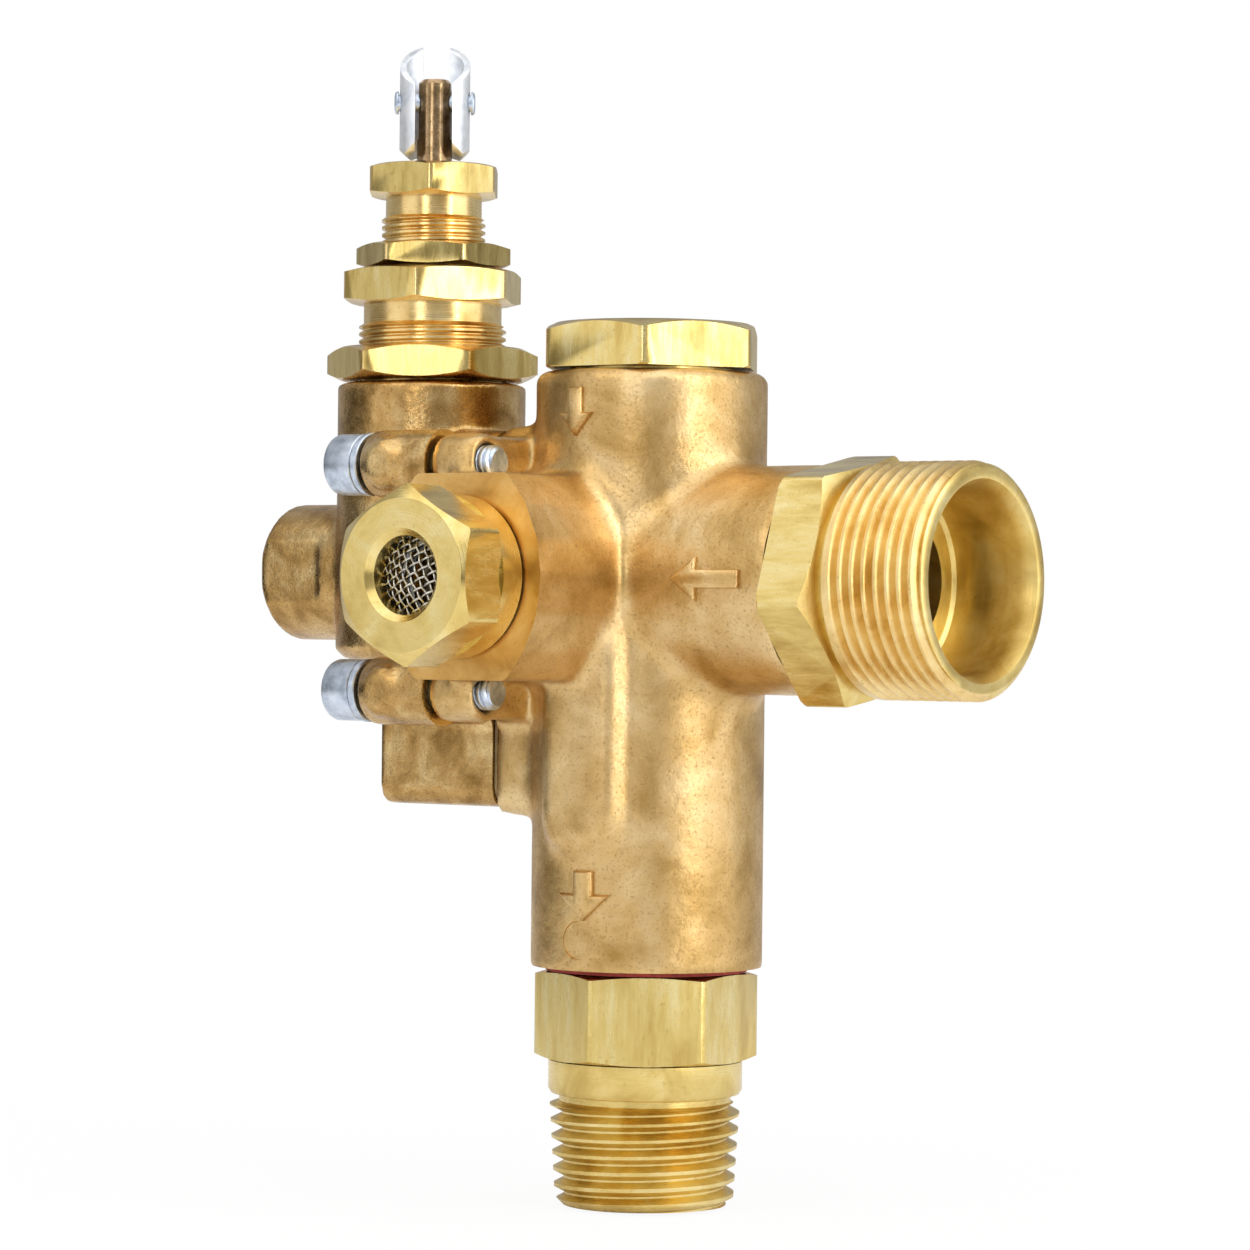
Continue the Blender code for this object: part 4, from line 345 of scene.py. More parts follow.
# Sleeve with a hexagonal bore, which mills a turned blank to its flats
def hexSleeve(acrossFlats, low, high, place, cornerR=0.35):
    bm = prism(roundedHexagon(acrossFlats * 1.5, cornerR), low, high, place)
    outer = bmObject("sleeve", bm, [])
    applyBoolean(outer, prism(roundedHexagon(acrossFlats, cornerR), low - 2, high + 2, place))
    sleeve = bmesh.new()
    sleeve.from_mesh(outer.data)
    bpy.data.objects.remove(outer, do_unlink=True)
    return sleeve


# Helical V-groove from low to high, as a solid to cut with; the two radii give a taper
def threadGroove(radiusLow, radiusHigh, low, high, pitch, depth, place, steps=48, start=0.0):
    bm = bmesh.new()
    half = 0.44 * pitch * mm
    root = 0.06 * pitch * mm
    outside = 0.25 * mm
    slope = (half - root) / (depth * mm)
    flare = half + outside * slope * 0.5
    flare = min(flare, 0.49 * pitch * mm)
    corners = [(outside, -flare), (-depth * mm, -root), (-depth * mm, root), (outside, flare)]
    points = [bm.verts.new((x, 0, z)) for x, z in corners]
    face = bm.faces.new(points)
    turns = (high - low) / pitch
    count = int(steps * turns)
    bmesh.ops.transform(bm, matrix=Matrix.Translation((radiusLow * mm, 0, low * mm)), verts=bm.verts)
    bmesh.ops.spin(bm, geom=[face], cent=(0, 0, 0), axis=(0, 0, 1), angle=math.tau * count / steps,
                   dvec=(0, 0, pitch * mm / steps), steps=count, use_merge=False)
    bmesh.ops.remove_doubles(bm, verts=bm.verts, dist=1e-8)
    for vert in bm.verts:
        share = (vert.co.z / mm - low) / (high - low)
        grow = 1 + (radiusHigh - radiusLow) * share / radiusLow
        vert.co.x *= grow
        vert.co.y *= grow
    bmesh.ops.rotate(bm, matrix=Matrix.Rotation(start, 3, "Z"), verts=bm.verts)
    bmesh.ops.transform(bm, matrix=place, verts=bm.verts)
    return bm


def paintFaces(piece, rule, index):
    for polygon in piece.data.polygons:
        if rule(polygon):
            polygon.material_index = index


# Gives the milled flats of a hexagon their own material
def paintFlats(piece, place, acrossFlats, low, high, index):
    back = place.inverted()
    spin = back.to_3x3()

    def isFlat(polygon):
        centre = back @ polygon.center
        normal = spin @ polygon.normal
        if not low * mm < centre.z < high * mm or abs(normal.z) > 0.2:
            return False
        reach = centre.x * normal.x + centre.y * normal.y
        return abs(reach - acrossFlats / 2 * mm) < 0.12 * mm

    paintFaces(piece, isFlat, index)


# Gives faces in a band along the axis and within two radii their own material
def paintBetween(piece, place, low, high, radiusLow, radiusHigh, index):
    back = place.inverted()

    def isInBand(polygon):
        centre = back @ polygon.center
        radius = math.hypot(centre.x, centre.y)
        return low * mm < centre.z < high * mm and radiusLow * mm < radius < radiusHigh * mm

    paintFaces(piece, isInBand, index)


def cornerReach(acrossFlats):
    return acrossFlats / 2 / math.cos(math.pi / 6)


# Forged bodies

# The CAD solid's form with the soft edges and wide fillets of a forging. Its facets are rounded
# off onto the cylinders (origin, axis, radius, reach); the machined planes (origin, normal) are
# given spare stock first and faced off last, so that they stay flat and crisp.
def forgedPiece(node, spec, cylinders, planes):
    bm = bmesh.new()
    bm.from_mesh(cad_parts[node].data)
    bmesh.ops.remove_doubles(bm, verts=bm.verts, dist=1e-6)
    for origin, normal in planes:
        for vert in bm.verts:
            if abs((vert.co - Vector(origin)).dot(Vector(normal))) < 0.02 * mm:
                vert.co += Vector(normal) * spec["stock"] * mm
    for centre, size in spec["plugs"]:
        block = bmesh.ops.create_cube(bm, size=1.0)
        bmesh.ops.transform(bm, matrix=Matrix.Translation(Vector(centre) * mm)
                            @ Matrix.Diagonal(Vector(size + (1000,)) * mm), verts=block["verts"])
    piece = bmObject(node + "_forging", bm, [spec["cast"], spec["faced"]])
    remesh = piece.modifiers.new("skin", "REMESH")
    remesh.mode = "VOXEL"
    remesh.voxel_size = spec["voxel"] * mm
    applyModifiers(piece)
    for origin, axis, radius, reach in cylinders:
        start = Vector(origin)
        along = Vector(axis)
        for vert in piece.data.vertices:
            offset = vert.co - start
            height = offset.dot(along)
            side = offset - along * height
            if 0 <= height <= reach and 0.975 * radius < side.length < 1.012 * radius:
                vert.co = start + along * height + side * (0.997 * radius / side.length)
    softenBy(piece, spec["rounds"])
    findHollows(piece, spec)
    softenBy(piece, spec["hollowRounds"], "hollow")
    piece.vertex_groups.clear()
    for origin, normal in spec["flat"]:
        out = Vector(normal)
        near = [(vert, (vert.co - Vector(origin)).dot(out)) for vert in piece.data.vertices
                if vert.normal.dot(out) > 0.55]
        for vert, height in near:
            if abs(height) < 0.5 * mm:
                vert.co -= out * height
    return piece


def softenBy(piece, rounds, group=""):
    soften = piece.modifiers.new("soften", "SMOOTH")
    soften.factor = 0.5
    soften.iterations = rounds
    soften.vertex_group = group
    applyModifiers(piece)


# Marks the inner corners and the strip beside them, where a forging has its fillets
def findHollows(piece, spec):
    bm = bmesh.new()
    bm.from_mesh(piece.data)
    bm.verts.ensure_lookup_table()
    share = {}
    for vert in bm.verts:
        middle = Vector()
        for edge in vert.link_edges:
            middle += edge.other_vert(vert).co
        rise = (middle / len(vert.link_edges) - vert.co).dot(vert.normal) / (spec["hollowRise"] * mm)
        if rise > 0.32:
            share[vert.index] = min(rise - 0.3, 1.0)
    front = set(share)
    for step in range(spec["hollowSpread"]):
        reached = set()
        for index in front:
            passed = 0.92 * share[index]
            for edge in bm.verts[index].link_edges:
                other = edge.other_vert(bm.verts[index]).index
                if passed > share.get(other, 0.02):
                    share[other] = passed
                    reached.add(other)
        front = reached
    bm.free()
    group = piece.vertex_groups.new(name="hollow")
    for index, weight in share.items():
        group.add([index], weight, "REPLACE")


# Cuts the stock off at each machined plane and closes the cut with a flat face
def faceOff(piece, planes):
    bm = bmesh.new()
    bm.from_mesh(piece.data)
    for origin, normal in planes:
        cut = bmesh.ops.bisect_plane(bm, geom=bm.verts[:] + bm.edges[:] + bm.faces[:], dist=1e-7,
                                     plane_co=origin, plane_no=normal, clear_outer=True)
        rim = [part for part in cut["geom_cut"] if isinstance(part, bmesh.types.BMEdge)]
        filled = bmesh.ops.triangle_fill(bm, edges=rim, use_beauty=True, use_dissolve=False,
                                         normal=normal)
        for part in filled["geom"]:
            if isinstance(part, bmesh.types.BMFace):
                part.material_index = 1
    bmesh.ops.recalc_face_normals(bm, faces=bm.faces)
    bm.to_mesh(piece.data)
    bm.free()


# Raised arrow that shows the flow, wrapped on a cylinder: axis is the way it points, out the side
def flowArrow(piece, spec):
    half = spec["length"] / 2
    neck = half - spec["head"]
    wide = spec["width"] / 2
    stem = spec["stem"] / 2
    outline = [(0, half), (-wide, neck), (-stem, neck), (-stem, -half), (stem, -half),
               (stem, neck), (wide, neck)]
    bm = prism(outline, -1.2, spec["rise"], Matrix.Identity(4))
    top = [edge for edge in bm.edges if all(vert.co.z > 0 for vert in edge.verts)]
    bmesh.ops.bevel(bm, geom=top, offset=spec["soft"] * mm, offset_type="OFFSET", segments=2,
                    profile=0.5, affect="EDGES", material=-1)
    for k in range(-5, 6):
        bmesh.ops.bisect_plane(bm, geom=bm.verts[:] + bm.edges[:] + bm.faces[:], dist=1e-7,
                               plane_co=(k * wide / 6 * mm, 0, 0), plane_no=(1, 0, 0))
    axis = Vector(spec["axis"])
    out = Vector(spec["out"]).normalized()
    side = axis.cross(out)
    radius = spec["radius"] * mm
    for vert in bm.verts:
        turn = vert.co.x / radius
        around = out * math.cos(turn) - side * math.sin(turn)
        vert.co = Vector(spec["centre"]) * mm + axis * vert.co.y + around * (radius + vert.co.z)
    applyBoolean(piece, bm, "UNION", "MANIFOLD")


bodyForge = {"voxel": 0.43, "rounds": 5, "stock": 1.6, "hollowRise": 0.03, "hollowSpread": 9,
             "hollowRounds": 50, "cast": forged, "faced": facedBrass, "flat": [((-0.0155, 0, 0), (-1, 0, 0))],
             "plugs": [((-11.2, 7.1, 70.4), (8.4, 1.76, 3.4)),    # close the cross drilling's side
                       ((-9.65, 7.3, 70.4), (0.8, 2.2, 3.4)),
                       ((-7.15, 7.65, 70.4), (4.3, 2.9, 3.4))]}
pilotForge = {"voxel": 0.36, "rounds": 5, "stock": 1.4, "hollowRise": 0.03, "hollowSpread": 6,
              "hollowRounds": 20, "cast": forgedPilot, "faced": turnedPilot, "flat": [], "plugs": []}
bodyPlanes = [((0, -0.0274, 0), (0, -1, 0)), ((0.024, 0, 0), (1, 0, 0)),
              ((0, 0, 0.0269), (0, 0, -1))]
pilotPlanes = [((-0.0161, 0, 0), (1, 0, 0))]
arrows = {
    "column": {"centre": (0, 0, 88.9), "axis": (0, 0, -1), "out": (-0.068, -0.998, 0), "radius": 13.0,
               "length": 5.4, "width": 4.6, "stem": 1.9, "head": 2.6, "rise": 0.75, "soft": 0.4},
    "branch": {"centre": (16.6, 0, 70.4), "axis": (-1, 0, 0), "out": (0, -1, 0), "radius": 12.7,
               "length": 9.2, "width": 4.8, "stem": 2.0, "head": 3.4, "rise": 0.75, "soft": 0.4},
    "foot": {"centre": (0, 0, 35.3), "axis": (0, 0, -1), "out": (0.066, -0.998, 0), "radius": 13.0,
             "length": 5.6, "width": 6.6, "stem": 2.4, "head": 3.0, "rise": 0.75, "soft": 0.4}}

bodyForging = forgedPiece("main_body", bodyForge,
                          [((0, 0, 0.0269), (0, 0, 1), 13.1 * mm, 66.0 * mm),
                           ((0, 0, portHeight), (1, 0, 0), 12.75 * mm, 23.6 * mm)], bodyPlanes)
for arrow in arrows.values():
    flowArrow(bodyForging, arrow)
ejector = {"radius": 2.1, "flatAt": 12.72, "level": 30.3}     # shallow mark of the die's ejector
ejectorCut = [(0, 15.0), (ejector["radius"] + 0.3, 15.0), (ejector["radius"], ejector["flatAt"]),
              (0, ejector["flatAt"])]
applyBoolean(bodyForging, turned(ejectorCut, placeAt((0, 0, ejector["level"] * mm), (0, -1, 0)), 48),
             "DIFFERENCE", "MANIFOLD")
faceOff(bodyForging, bodyPlanes)
finishPiece(bodyForging, "valve_body", "main_body", 40)
pilotForging = forgedPiece("pilot_body", pilotForge,
                           [((pilotX, 0, 0.0609), (0, 0, 1), 11.0 * mm, 32.0 * mm),
                            ((pilotX, 0, portHeight + 0.8 * mm), (-1, 0, 0), 8.05 * mm, 19.5 * mm)],
                           pilotPlanes)
faceOff(pilotForging, pilotPlanes)
earReach = 21.34 * mm       # outermost facets of the ears
for vert in pilotForging.data.vertices:
    vert.co.y = max(-earReach, min(earReach, vert.co.y))
finishPiece(pilotForging, "valve_body", "pilot_body", 40)
for piece in (bodyForging, pilotForging):
    print(piece.name, sum(len(p.vertices) - 2 for p in piece.data.polygons), "triangles")
print("forgings made")


# Top plug

topPlug = {"flats": 22.9, "height": 5.2, "gap": 0.3, "spigotR": 9.7, "spigot": 7.0, "turn": 1.4,
           "columnTop": 93.8}


def makeTopPlug():
    spec = topPlug
    place = placeAt((0, 0, spec["columnTop"] * mm), upAxis, spec["turn"])
    low = spec["gap"]
    high = low + spec["height"]
    tip = cornerReach(spec["flats"]) - 0.15
    profile = [(0, high), (spec["flats"] / 2 - 0.5, high), (tip, high - 1.0),
               (tip, low + 0.2), (tip - 0.25, low), (9.3, low), (9.3, -0.8),
               (spec["spigotR"], -1.2), (spec["spigotR"], -spec["spigot"]), (0, -spec["spigot"])]
    piece = bmObject("top_plug_turned", turned(profile, place), [turnedUp, flatsUp])
    applyBoolean(piece, hexSleeve(spec["flats"], low - 0.05, high + 1, place))
    paintFlats(piece, place, spec["flats"], low, high, 1)
    return finishPiece(piece, "valve_body", "top_plug")


makeTopPlug()


# Outlet nipple with its tapered pipe thread

nipple = {"flats": 22.0, "turn": 36.4, "thread": 12.6, "collar": 3.7, "collarR": 10.95,
          "hexTop": 26.25, "threadR": 10.75, "endR": 10.1, "boreR": 6.0, "chamberR": 7.0,
          "chamberLow": 14.5, "spigotTop": 36.5, "spigotR": 9.0, "pitch": 1.814, "depth": 1.2}


def makeNipple():
    spec = nipple
    place = placeAt((0, 0, 0), upAxis, spec["turn"])
    hexLow = spec["thread"] + spec["collar"]
    tip = cornerReach(spec["flats"]) - 0.15
    profile = [(spec["chamberR"], spec["spigotTop"]), (spec["spigotR"], spec["spigotTop"]),
               (spec["spigotR"], spec["hexTop"]), (spec["flats"] / 2, spec["hexTop"]),
               (tip, spec["hexTop"] - 0.35), (tip, hexLow + 0.6), (spec["flats"] / 2 - 0.3, hexLow),
               (spec["collarR"], hexLow), (spec["collarR"], spec["thread"] + 0.5),
               (spec["collarR"] - 0.3, spec["thread"]), (9.7, spec["thread"] - 0.25),
               (9.7, spec["thread"] - 0.9), (spec["threadR"], spec["thread"] - 1.3),
               (spec["endR"], 0.9), (spec["endR"] - 0.9, 0), (spec["boreR"] + 0.3, 0),
               (spec["boreR"], 0.3), (spec["boreR"], spec["chamberLow"]),
               (spec["chamberR"], spec["chamberLow"])]
    piece = bmObject("outlet_nipple_threaded", turned(profile, place), [turnedUp, flatsUp, threadUp])
    applyBoolean(piece, hexSleeve(spec["flats"], hexLow + 0.01, spec["hexTop"] - 0.01, place))
    groove = threadGroove(spec["endR"], spec["threadR"], -0.8 * spec["pitch"], spec["thread"] - 0.6,
                          spec["pitch"], spec["depth"], place, 60, threadPhase)
    applyBoolean(piece, groove)
    paintFlats(piece, place, spec["flats"], hexLow, spec["hexTop"], 1)
    paintBetween(piece, place, 0.0, spec["thread"] - 0.3, 8.0, 12.0, 2)
    return finishPiece(piece, "valve_body", "outlet_nipple")


makeNipple()


# Inlet adapter

inlet = {"flats": 25.4, "turn": 41.0, "face": 24.3, "hexEnd": 30.8, "neckR": 11.8, "neckEnd": 31.6,
         "mouth": 44.4, "threadR": 13.0, "pitch": 1.5, "depth": 0.9, "mouthR": 10.3,
         "step": 34.0, "lipR": 7.6, "lip": 0.8, "passageR": 6.5, "spigotR": 9.3, "spigotEnd": 15.5}


def makeInlet():
    spec = inlet
    place = placeAt(portCentre, (1, 0, 0), spec["turn"])
    tip = cornerReach(spec["flats"]) - 0.15
    mouth = spec["mouth"]
    profile = [(spec["passageR"], spec["step"] + spec["lip"]),
               (spec["lipR"] - 0.3, spec["step"] + spec["lip"]),
               (spec["lipR"], spec["step"] + spec["lip"] - 0.3), (spec["lipR"], spec["step"]),
               (spec["mouthR"] - 0.5, spec["step"]), (spec["mouthR"] - 0.1, spec["step"] + 0.4),
               (spec["mouthR"], mouth - 1.6), (spec["mouthR"] + 0.75, mouth - 0.1),
               (spec["mouthR"] + 0.95, mouth), (spec["threadR"] - 0.75, mouth),
               (spec["threadR"] - 0.55, mouth - 0.1), (spec["threadR"], mouth - 0.7),
               (spec["threadR"], spec["neckEnd"] + 0.4), (spec["neckR"], spec["neckEnd"] - 0.1),
               (spec["neckR"], spec["hexEnd"]), (spec["flats"] / 2 - 0.3, spec["hexEnd"]),
               (tip, spec["hexEnd"] - 1.0), (tip, spec["face"] + 0.3), (tip - 0.3, spec["face"]),
               (spec["spigotR"], spec["face"]), (spec["spigotR"], spec["spigotEnd"]),
               (spec["passageR"], spec["spigotEnd"])]
    piece = bmObject("inlet_adapter_threaded", turned(profile, place, 128),
                     [turnedInlet, flatsInlet, threadInlet])
    applyBoolean(piece, hexSleeve(spec["flats"], spec["face"] - 0.1, spec["hexEnd"] - 0.01, place))
    groove = threadGroove(spec["threadR"], spec["threadR"], spec["neckEnd"] + 0.9,
                          mouth + 0.8 * spec["pitch"], spec["pitch"], spec["depth"], place, 80,
                          threadPhase)
    applyBoolean(piece, groove)
    paintFlats(piece, place, spec["flats"], spec["face"], spec["hexEnd"], 1)
    paintBetween(piece, place, spec["neckEnd"], mouth - 0.4, 11.5, 13.2, 2)
    return finishPiece(piece, "valve_body", "inlet_adapter")


makeInlet()


# Exhaust fitting

exhaust = {"flats": 17.3, "collar": 27.7, "hexLow": 31.2, "hexHigh": 37.7, "collarR": 8.95,
           "mouthR": 4.3, "shoulder": 35.1, "chamberR": 5.5, "spigotR": 7.0, "back": 21.4}


def makeExhaust():
    spec = exhaust
    place = placeAt(exhaustCentre, (0, -1, 0), 90)
    tip = cornerReach(spec["flats"]) - 0.12
    high = spec["hexHigh"]
    profile = [(spec["mouthR"] + 0.75, high), (spec["flats"] / 2 - 0.35, high), (tip, high - 1.1),
               (tip, spec["hexLow"] + 0.5), (spec["collarR"], spec["hexLow"]),
               (spec["collarR"], spec["collar"] + 0.25), (spec["collarR"] - 0.25, spec["collar"]),
               (spec["spigotR"], spec["collar"]), (spec["spigotR"], spec["back"]),
               (spec["chamberR"], spec["back"]), (spec["chamberR"], spec["shoulder"]),
               (spec["mouthR"], spec["shoulder"]), (spec["mouthR"], high - 0.75)]
    piece = bmObject("exhaust_fitting_turned", turned(profile, place), [turnedExhaust, flatsExhaust])
    applyBoolean(piece, hexSleeve(spec["flats"], spec["hexLow"] + 0.01, high + 1, place, 0.25))
    paintFlats(piece, place, spec["flats"], spec["hexLow"], high, 1)
    return finishPiece(piece, "valve_body", "exhaust_fitting")


makeExhaust()


# Woven wire screen

screen = {"wireR": 0.13, "pitch": 0.87, "rimR": 5.35, "rimInner": 4.45, "rimFront": 34.95,
          "rimBack": 34.45, "dome": 1.3, "turn": 25, "sides": 8}


# Plain weave: each wire rises and falls over the crossing ones, on a shallow dome
def makeScreen():
    spec = screen
    place = placeAt(exhaustCentre, (0, -1, 0), spec["turn"])
    reach = spec["rimInner"] + 0.15
    count = int(reach / spec["pitch"] + 0.5)
    bm = turned([(spec["rimInner"], spec["rimFront"]), (spec["rimR"], spec["rimFront"]),
                 (spec["rimR"], spec["rimBack"]), (spec["rimInner"], spec["rimBack"])],
                Matrix.Identity(4), 48)
    for way in (0, 1):
        for row in range(-count, count + 1):
            offset = row * spec["pitch"]
            if abs(offset) >= reach:
                continue
            half = math.sqrt(reach ** 2 - offset ** 2)
            stations = max(6, int(2 * half / spec["pitch"] * 6))
            ring = bmesh.ops.create_circle(bm, segments=spec["sides"], radius=spec["wireR"] * mm)["verts"]
            section = [v.co.copy() for v in ring]
            bmesh.ops.delete(bm, geom=ring, context="VERTS")
            loops = []
            for k in range(stations + 1):
                run = -half + 2 * half * k / stations
                phase = math.pi * (run / spec["pitch"] + row + way)
                wave = spec["wireR"] * 0.95 * math.cos(phase)
                share = min(math.hypot(run, offset) / spec["rimInner"], 1.0)
                height = spec["rimBack"] + 0.35 + spec["dome"] * (1 - share ** 2) + wave
                loop = []
                for point in section:
                    spot = (run * mm, offset * mm + point.x, height * mm + point.y)
                    if way:
                        spot = (spot[1], spot[0], spot[2])
                    loop.append(bm.verts.new(spot))
                loops.append(loop)
            for first, second in zip(loops, loops[1:]):
                for j in range(len(first)):
                    i = (j + 1) % len(first)
                    bm.faces.new((first[j], first[i], second[i], second[j]))
            bm.faces.new(loops[0])
            bm.faces.new(loops[-1])
    bmesh.ops.transform(bm, matrix=place, verts=bm.verts)
    piece = bmObject("exhaust_screen_woven", bm, [stainless])
    return finishPiece(piece, "valve_body", "exhaust_screen")


makeScreen()
print("column and port fittings made")


# Pilot valve's stack of screws and locknuts

stack = {
    "lower_locknut": {"body": "lower_nut", "flats": 21.8, "turn": 28.8, "bore": 8.9,
                      "low": 23.1, "high": 27.0, "chamfer": 0.9},
    "upper_locknut": {"body": "upper_nut", "flats": 15.9, "turn": 31.4, "bore": 6.35,
                      "low": 36.4, "high": 39.1, "chamfer": 0.45}}


def makeNut(node, spec):
    place = placeAt(pilotCentre, upAxis, spec["turn"])
    tip = cornerReach(spec["flats"]) - 0.12
    inset = spec["flats"] / 2 - 0.35
    profile = [(spec["bore"] + 0.3, spec["high"]), (inset, spec["high"]),
               (tip, spec["high"] - spec["chamfer"]), (tip, spec["low"] + spec["chamfer"]),
               (inset, spec["low"]), (spec["bore"] + 0.3, spec["low"]),
               (spec["bore"], spec["low"] + 0.3), (spec["bore"], spec["high"] - 0.3)]
    # the upper locknut's flats take the darker olive colours, a painted dark reflection
    flats = flatsOlive if node == "upper_locknut" else flatsUp
    piece = bmObject(node + "_milled", turned(profile, place), [turnedPilot, flats])
    applyBoolean(piece, hexSleeve(spec["flats"], spec["low"] - 0.1, spec["high"] + 0.1, place))
    paintFlats(piece, place, spec["flats"], spec["low"], spec["high"], 1)
    return finishPiece(piece, spec["body"], node)


for nutNode, nutSpec in stack.items():
    makeNut(nutNode, nutSpec)

pressure = {"flats": 19.05, "turn": 58.0, "bore": 6.35, "hexLow": 32.1, "hexHigh": 36.1,
            "shoulderR": 8.05, "shoulderLow": 29.8, "threadR": 8.6, "end": 13.8,
            "pitch": 0.87, "depth": 0.5}
differential = {"flats": 14.5, "turn": 65.4, "bore": 2.35, "hexLow": 44.6, "hexHigh": 48.35,
                "shoulderR": 5.6, "shoulderLow": 42.3, "threadR": 6.05, "end": 26.6,
                "pitch": 0.85, "depth": 0.48}


def makeScrew(node, body, spec):
    place = placeAt(pilotCentre, upAxis, spec["turn"])
    tip = cornerReach(spec["flats"]) - 0.12
    inset = spec["flats"] / 2 - 0.35
    profile = [(spec["bore"] + 0.25, spec["hexHigh"]), (inset, spec["hexHigh"]),
               (tip, spec["hexHigh"] - 0.45), (tip, spec["hexLow"] + 0.45), (inset, spec["hexLow"]),
               (spec["shoulderR"], spec["hexLow"]), (spec["shoulderR"], spec["shoulderLow"]),
               (spec["threadR"], spec["shoulderLow"] - 0.35), (spec["threadR"], spec["end"] + 0.5),
               (spec["threadR"] - 0.5, spec["end"]), (spec["bore"], spec["end"]),
               (spec["bore"], spec["hexHigh"] - 0.25)]
    # the differential screw's flats take the darker olive colours, a painted dark reflection
    flats = flatsOlive if node == "differential_screw" else flatsUp
    piece = bmObject(node + "_threaded", turned(profile, place), [turnedPilot, flats, threadPilot])
    applyBoolean(piece, hexSleeve(spec["flats"], spec["hexLow"] + 0.01, spec["hexHigh"] + 1, place))
    groove = threadGroove(spec["threadR"], spec["threadR"], spec["end"] - spec["pitch"],
                          spec["shoulderLow"] - 0.1, spec["pitch"], spec["depth"], place, 48)
    applyBoolean(piece, groove)
    paintFlats(piece, place, spec["flats"], spec["hexLow"], spec["hexHigh"], 1)
    paintBetween(piece, place, spec["end"], spec["shoulderLow"], spec["bore"] + 0.6,
                 spec["threadR"] + 0.5, 2)
    return finishPiece(piece, body, node)


makeScrew("pressure_screw", "pressure_setting", pressure)
makeScrew("differential_screw", "differential_setting", differential)
print("pilot stack made")

# Cap screws and split lock washers

capScrew = {"headR": 3.5, "head": 4.0, "shankR": 1.95, "socket": 3.0, "socketDepth": 2.0,
            "length": 22.95, "headX": -31.3, "halfY": 17.1, "halfZ": 12.8, "pitch": 0.7,
            "threaded": 5.0, "depth": 0.35}
lockWasher = {"low": 4.15, "high": 5.05, "outerR": 3.6, "innerR": 2.1, "split": 0.8, "turn": 35}


def makeScrewAndWasher(quarter, name):
    spec = capScrew
    side, level = quarter
    centre = (spec["headX"] * mm, side * spec["halfY"] * mm, portHeight + level * spec["halfZ"] * mm)
    place = placeAt(centre, (1, 0, 0))
    end = spec["length"]
    profile = [(0, end), (spec["shankR"] - 0.5, end), (spec["shankR"], end - 0.5),
               (spec["shankR"], spec["head"]), (spec["headR"] - 0.1, spec["head"]),
               (spec["headR"], spec["head"] - 0.1), (spec["headR"], 0.5),
               (spec["headR"] - 0.1, 0.22), (spec["headR"] - 0.3, 0.05),
               (spec["headR"] - 0.5, 0), (0, 0)]
    screw = bmObject("cap_screw_" + name + "_threaded", turned(profile, place, 56), [zinc])
    applyBoolean(screw, prism(roundedHexagon(spec["socket"], 0.12, 2), -1, spec["socketDepth"], place))
    groove = threadGroove(spec["shankR"], spec["shankR"], end - spec["threaded"], end + 0.6,
                          spec["pitch"], spec["depth"], place, 32)
    applyBoolean(screw, groove)
    finishPiece(screw, "valve_body", "cap_screw_" + name)
    spec = lockWasher
    place = placeAt(centre, (1, 0, 0), spec["turn"])
    ring = [(spec["innerR"], spec["high"]), (spec["outerR"] - 0.12, spec["high"]),
            (spec["outerR"], spec["high"] - 0.12), (spec["outerR"], spec["low"] + 0.12),
            (spec["outerR"] - 0.12, spec["low"]), (spec["innerR"], spec["low"])]
    washer = bmObject("lock_washer_" + name + "_split", turned(ring, place, 48), [zinc])
    half = spec["split"] / 2
    gap = prism([(0, -half), (5, -half * 1.1), (5, half * 1.1), (0, half)], spec["low"] - 1,
                spec["high"] + 1, place)
    applyBoolean(washer, gap)
    finishPiece(washer, "valve_body", "lock_washer_" + name)


for quarter, name in (((-1, 1), "front_upper"), ((-1, -1), "front_lower"),
                       ((1, 1), "rear_upper"), ((1, -1), "rear_lower")):
    makeScrewAndWasher(quarter, name)
print("fasteners made")


# Stem, toggle lever and pin

toggle = {"turn": 36.4, "pivot": 55.7, "outerR": 4.1, "wall": 0.75, "foot": 6.8, "camR": 4.1,
          "tip": 7.24, "slope": 0.72, "frontSlot": 4.35, "backSlot": 3.2, "footWidth": 5.0,
          "footCorner": 2.1, "pinHole": 1.15, "wide": 5.1}
stem = {"radius": 2.05, "top": 58.4, "low": 12.94, "chamfer": 0.5, "flats": 3.7, "flatLength": 7.0}


def box2d(lowX, highX, lowY, highY):
    return [(lowX, lowY), (highX, lowY), (highX, highY), (lowX, highY)]


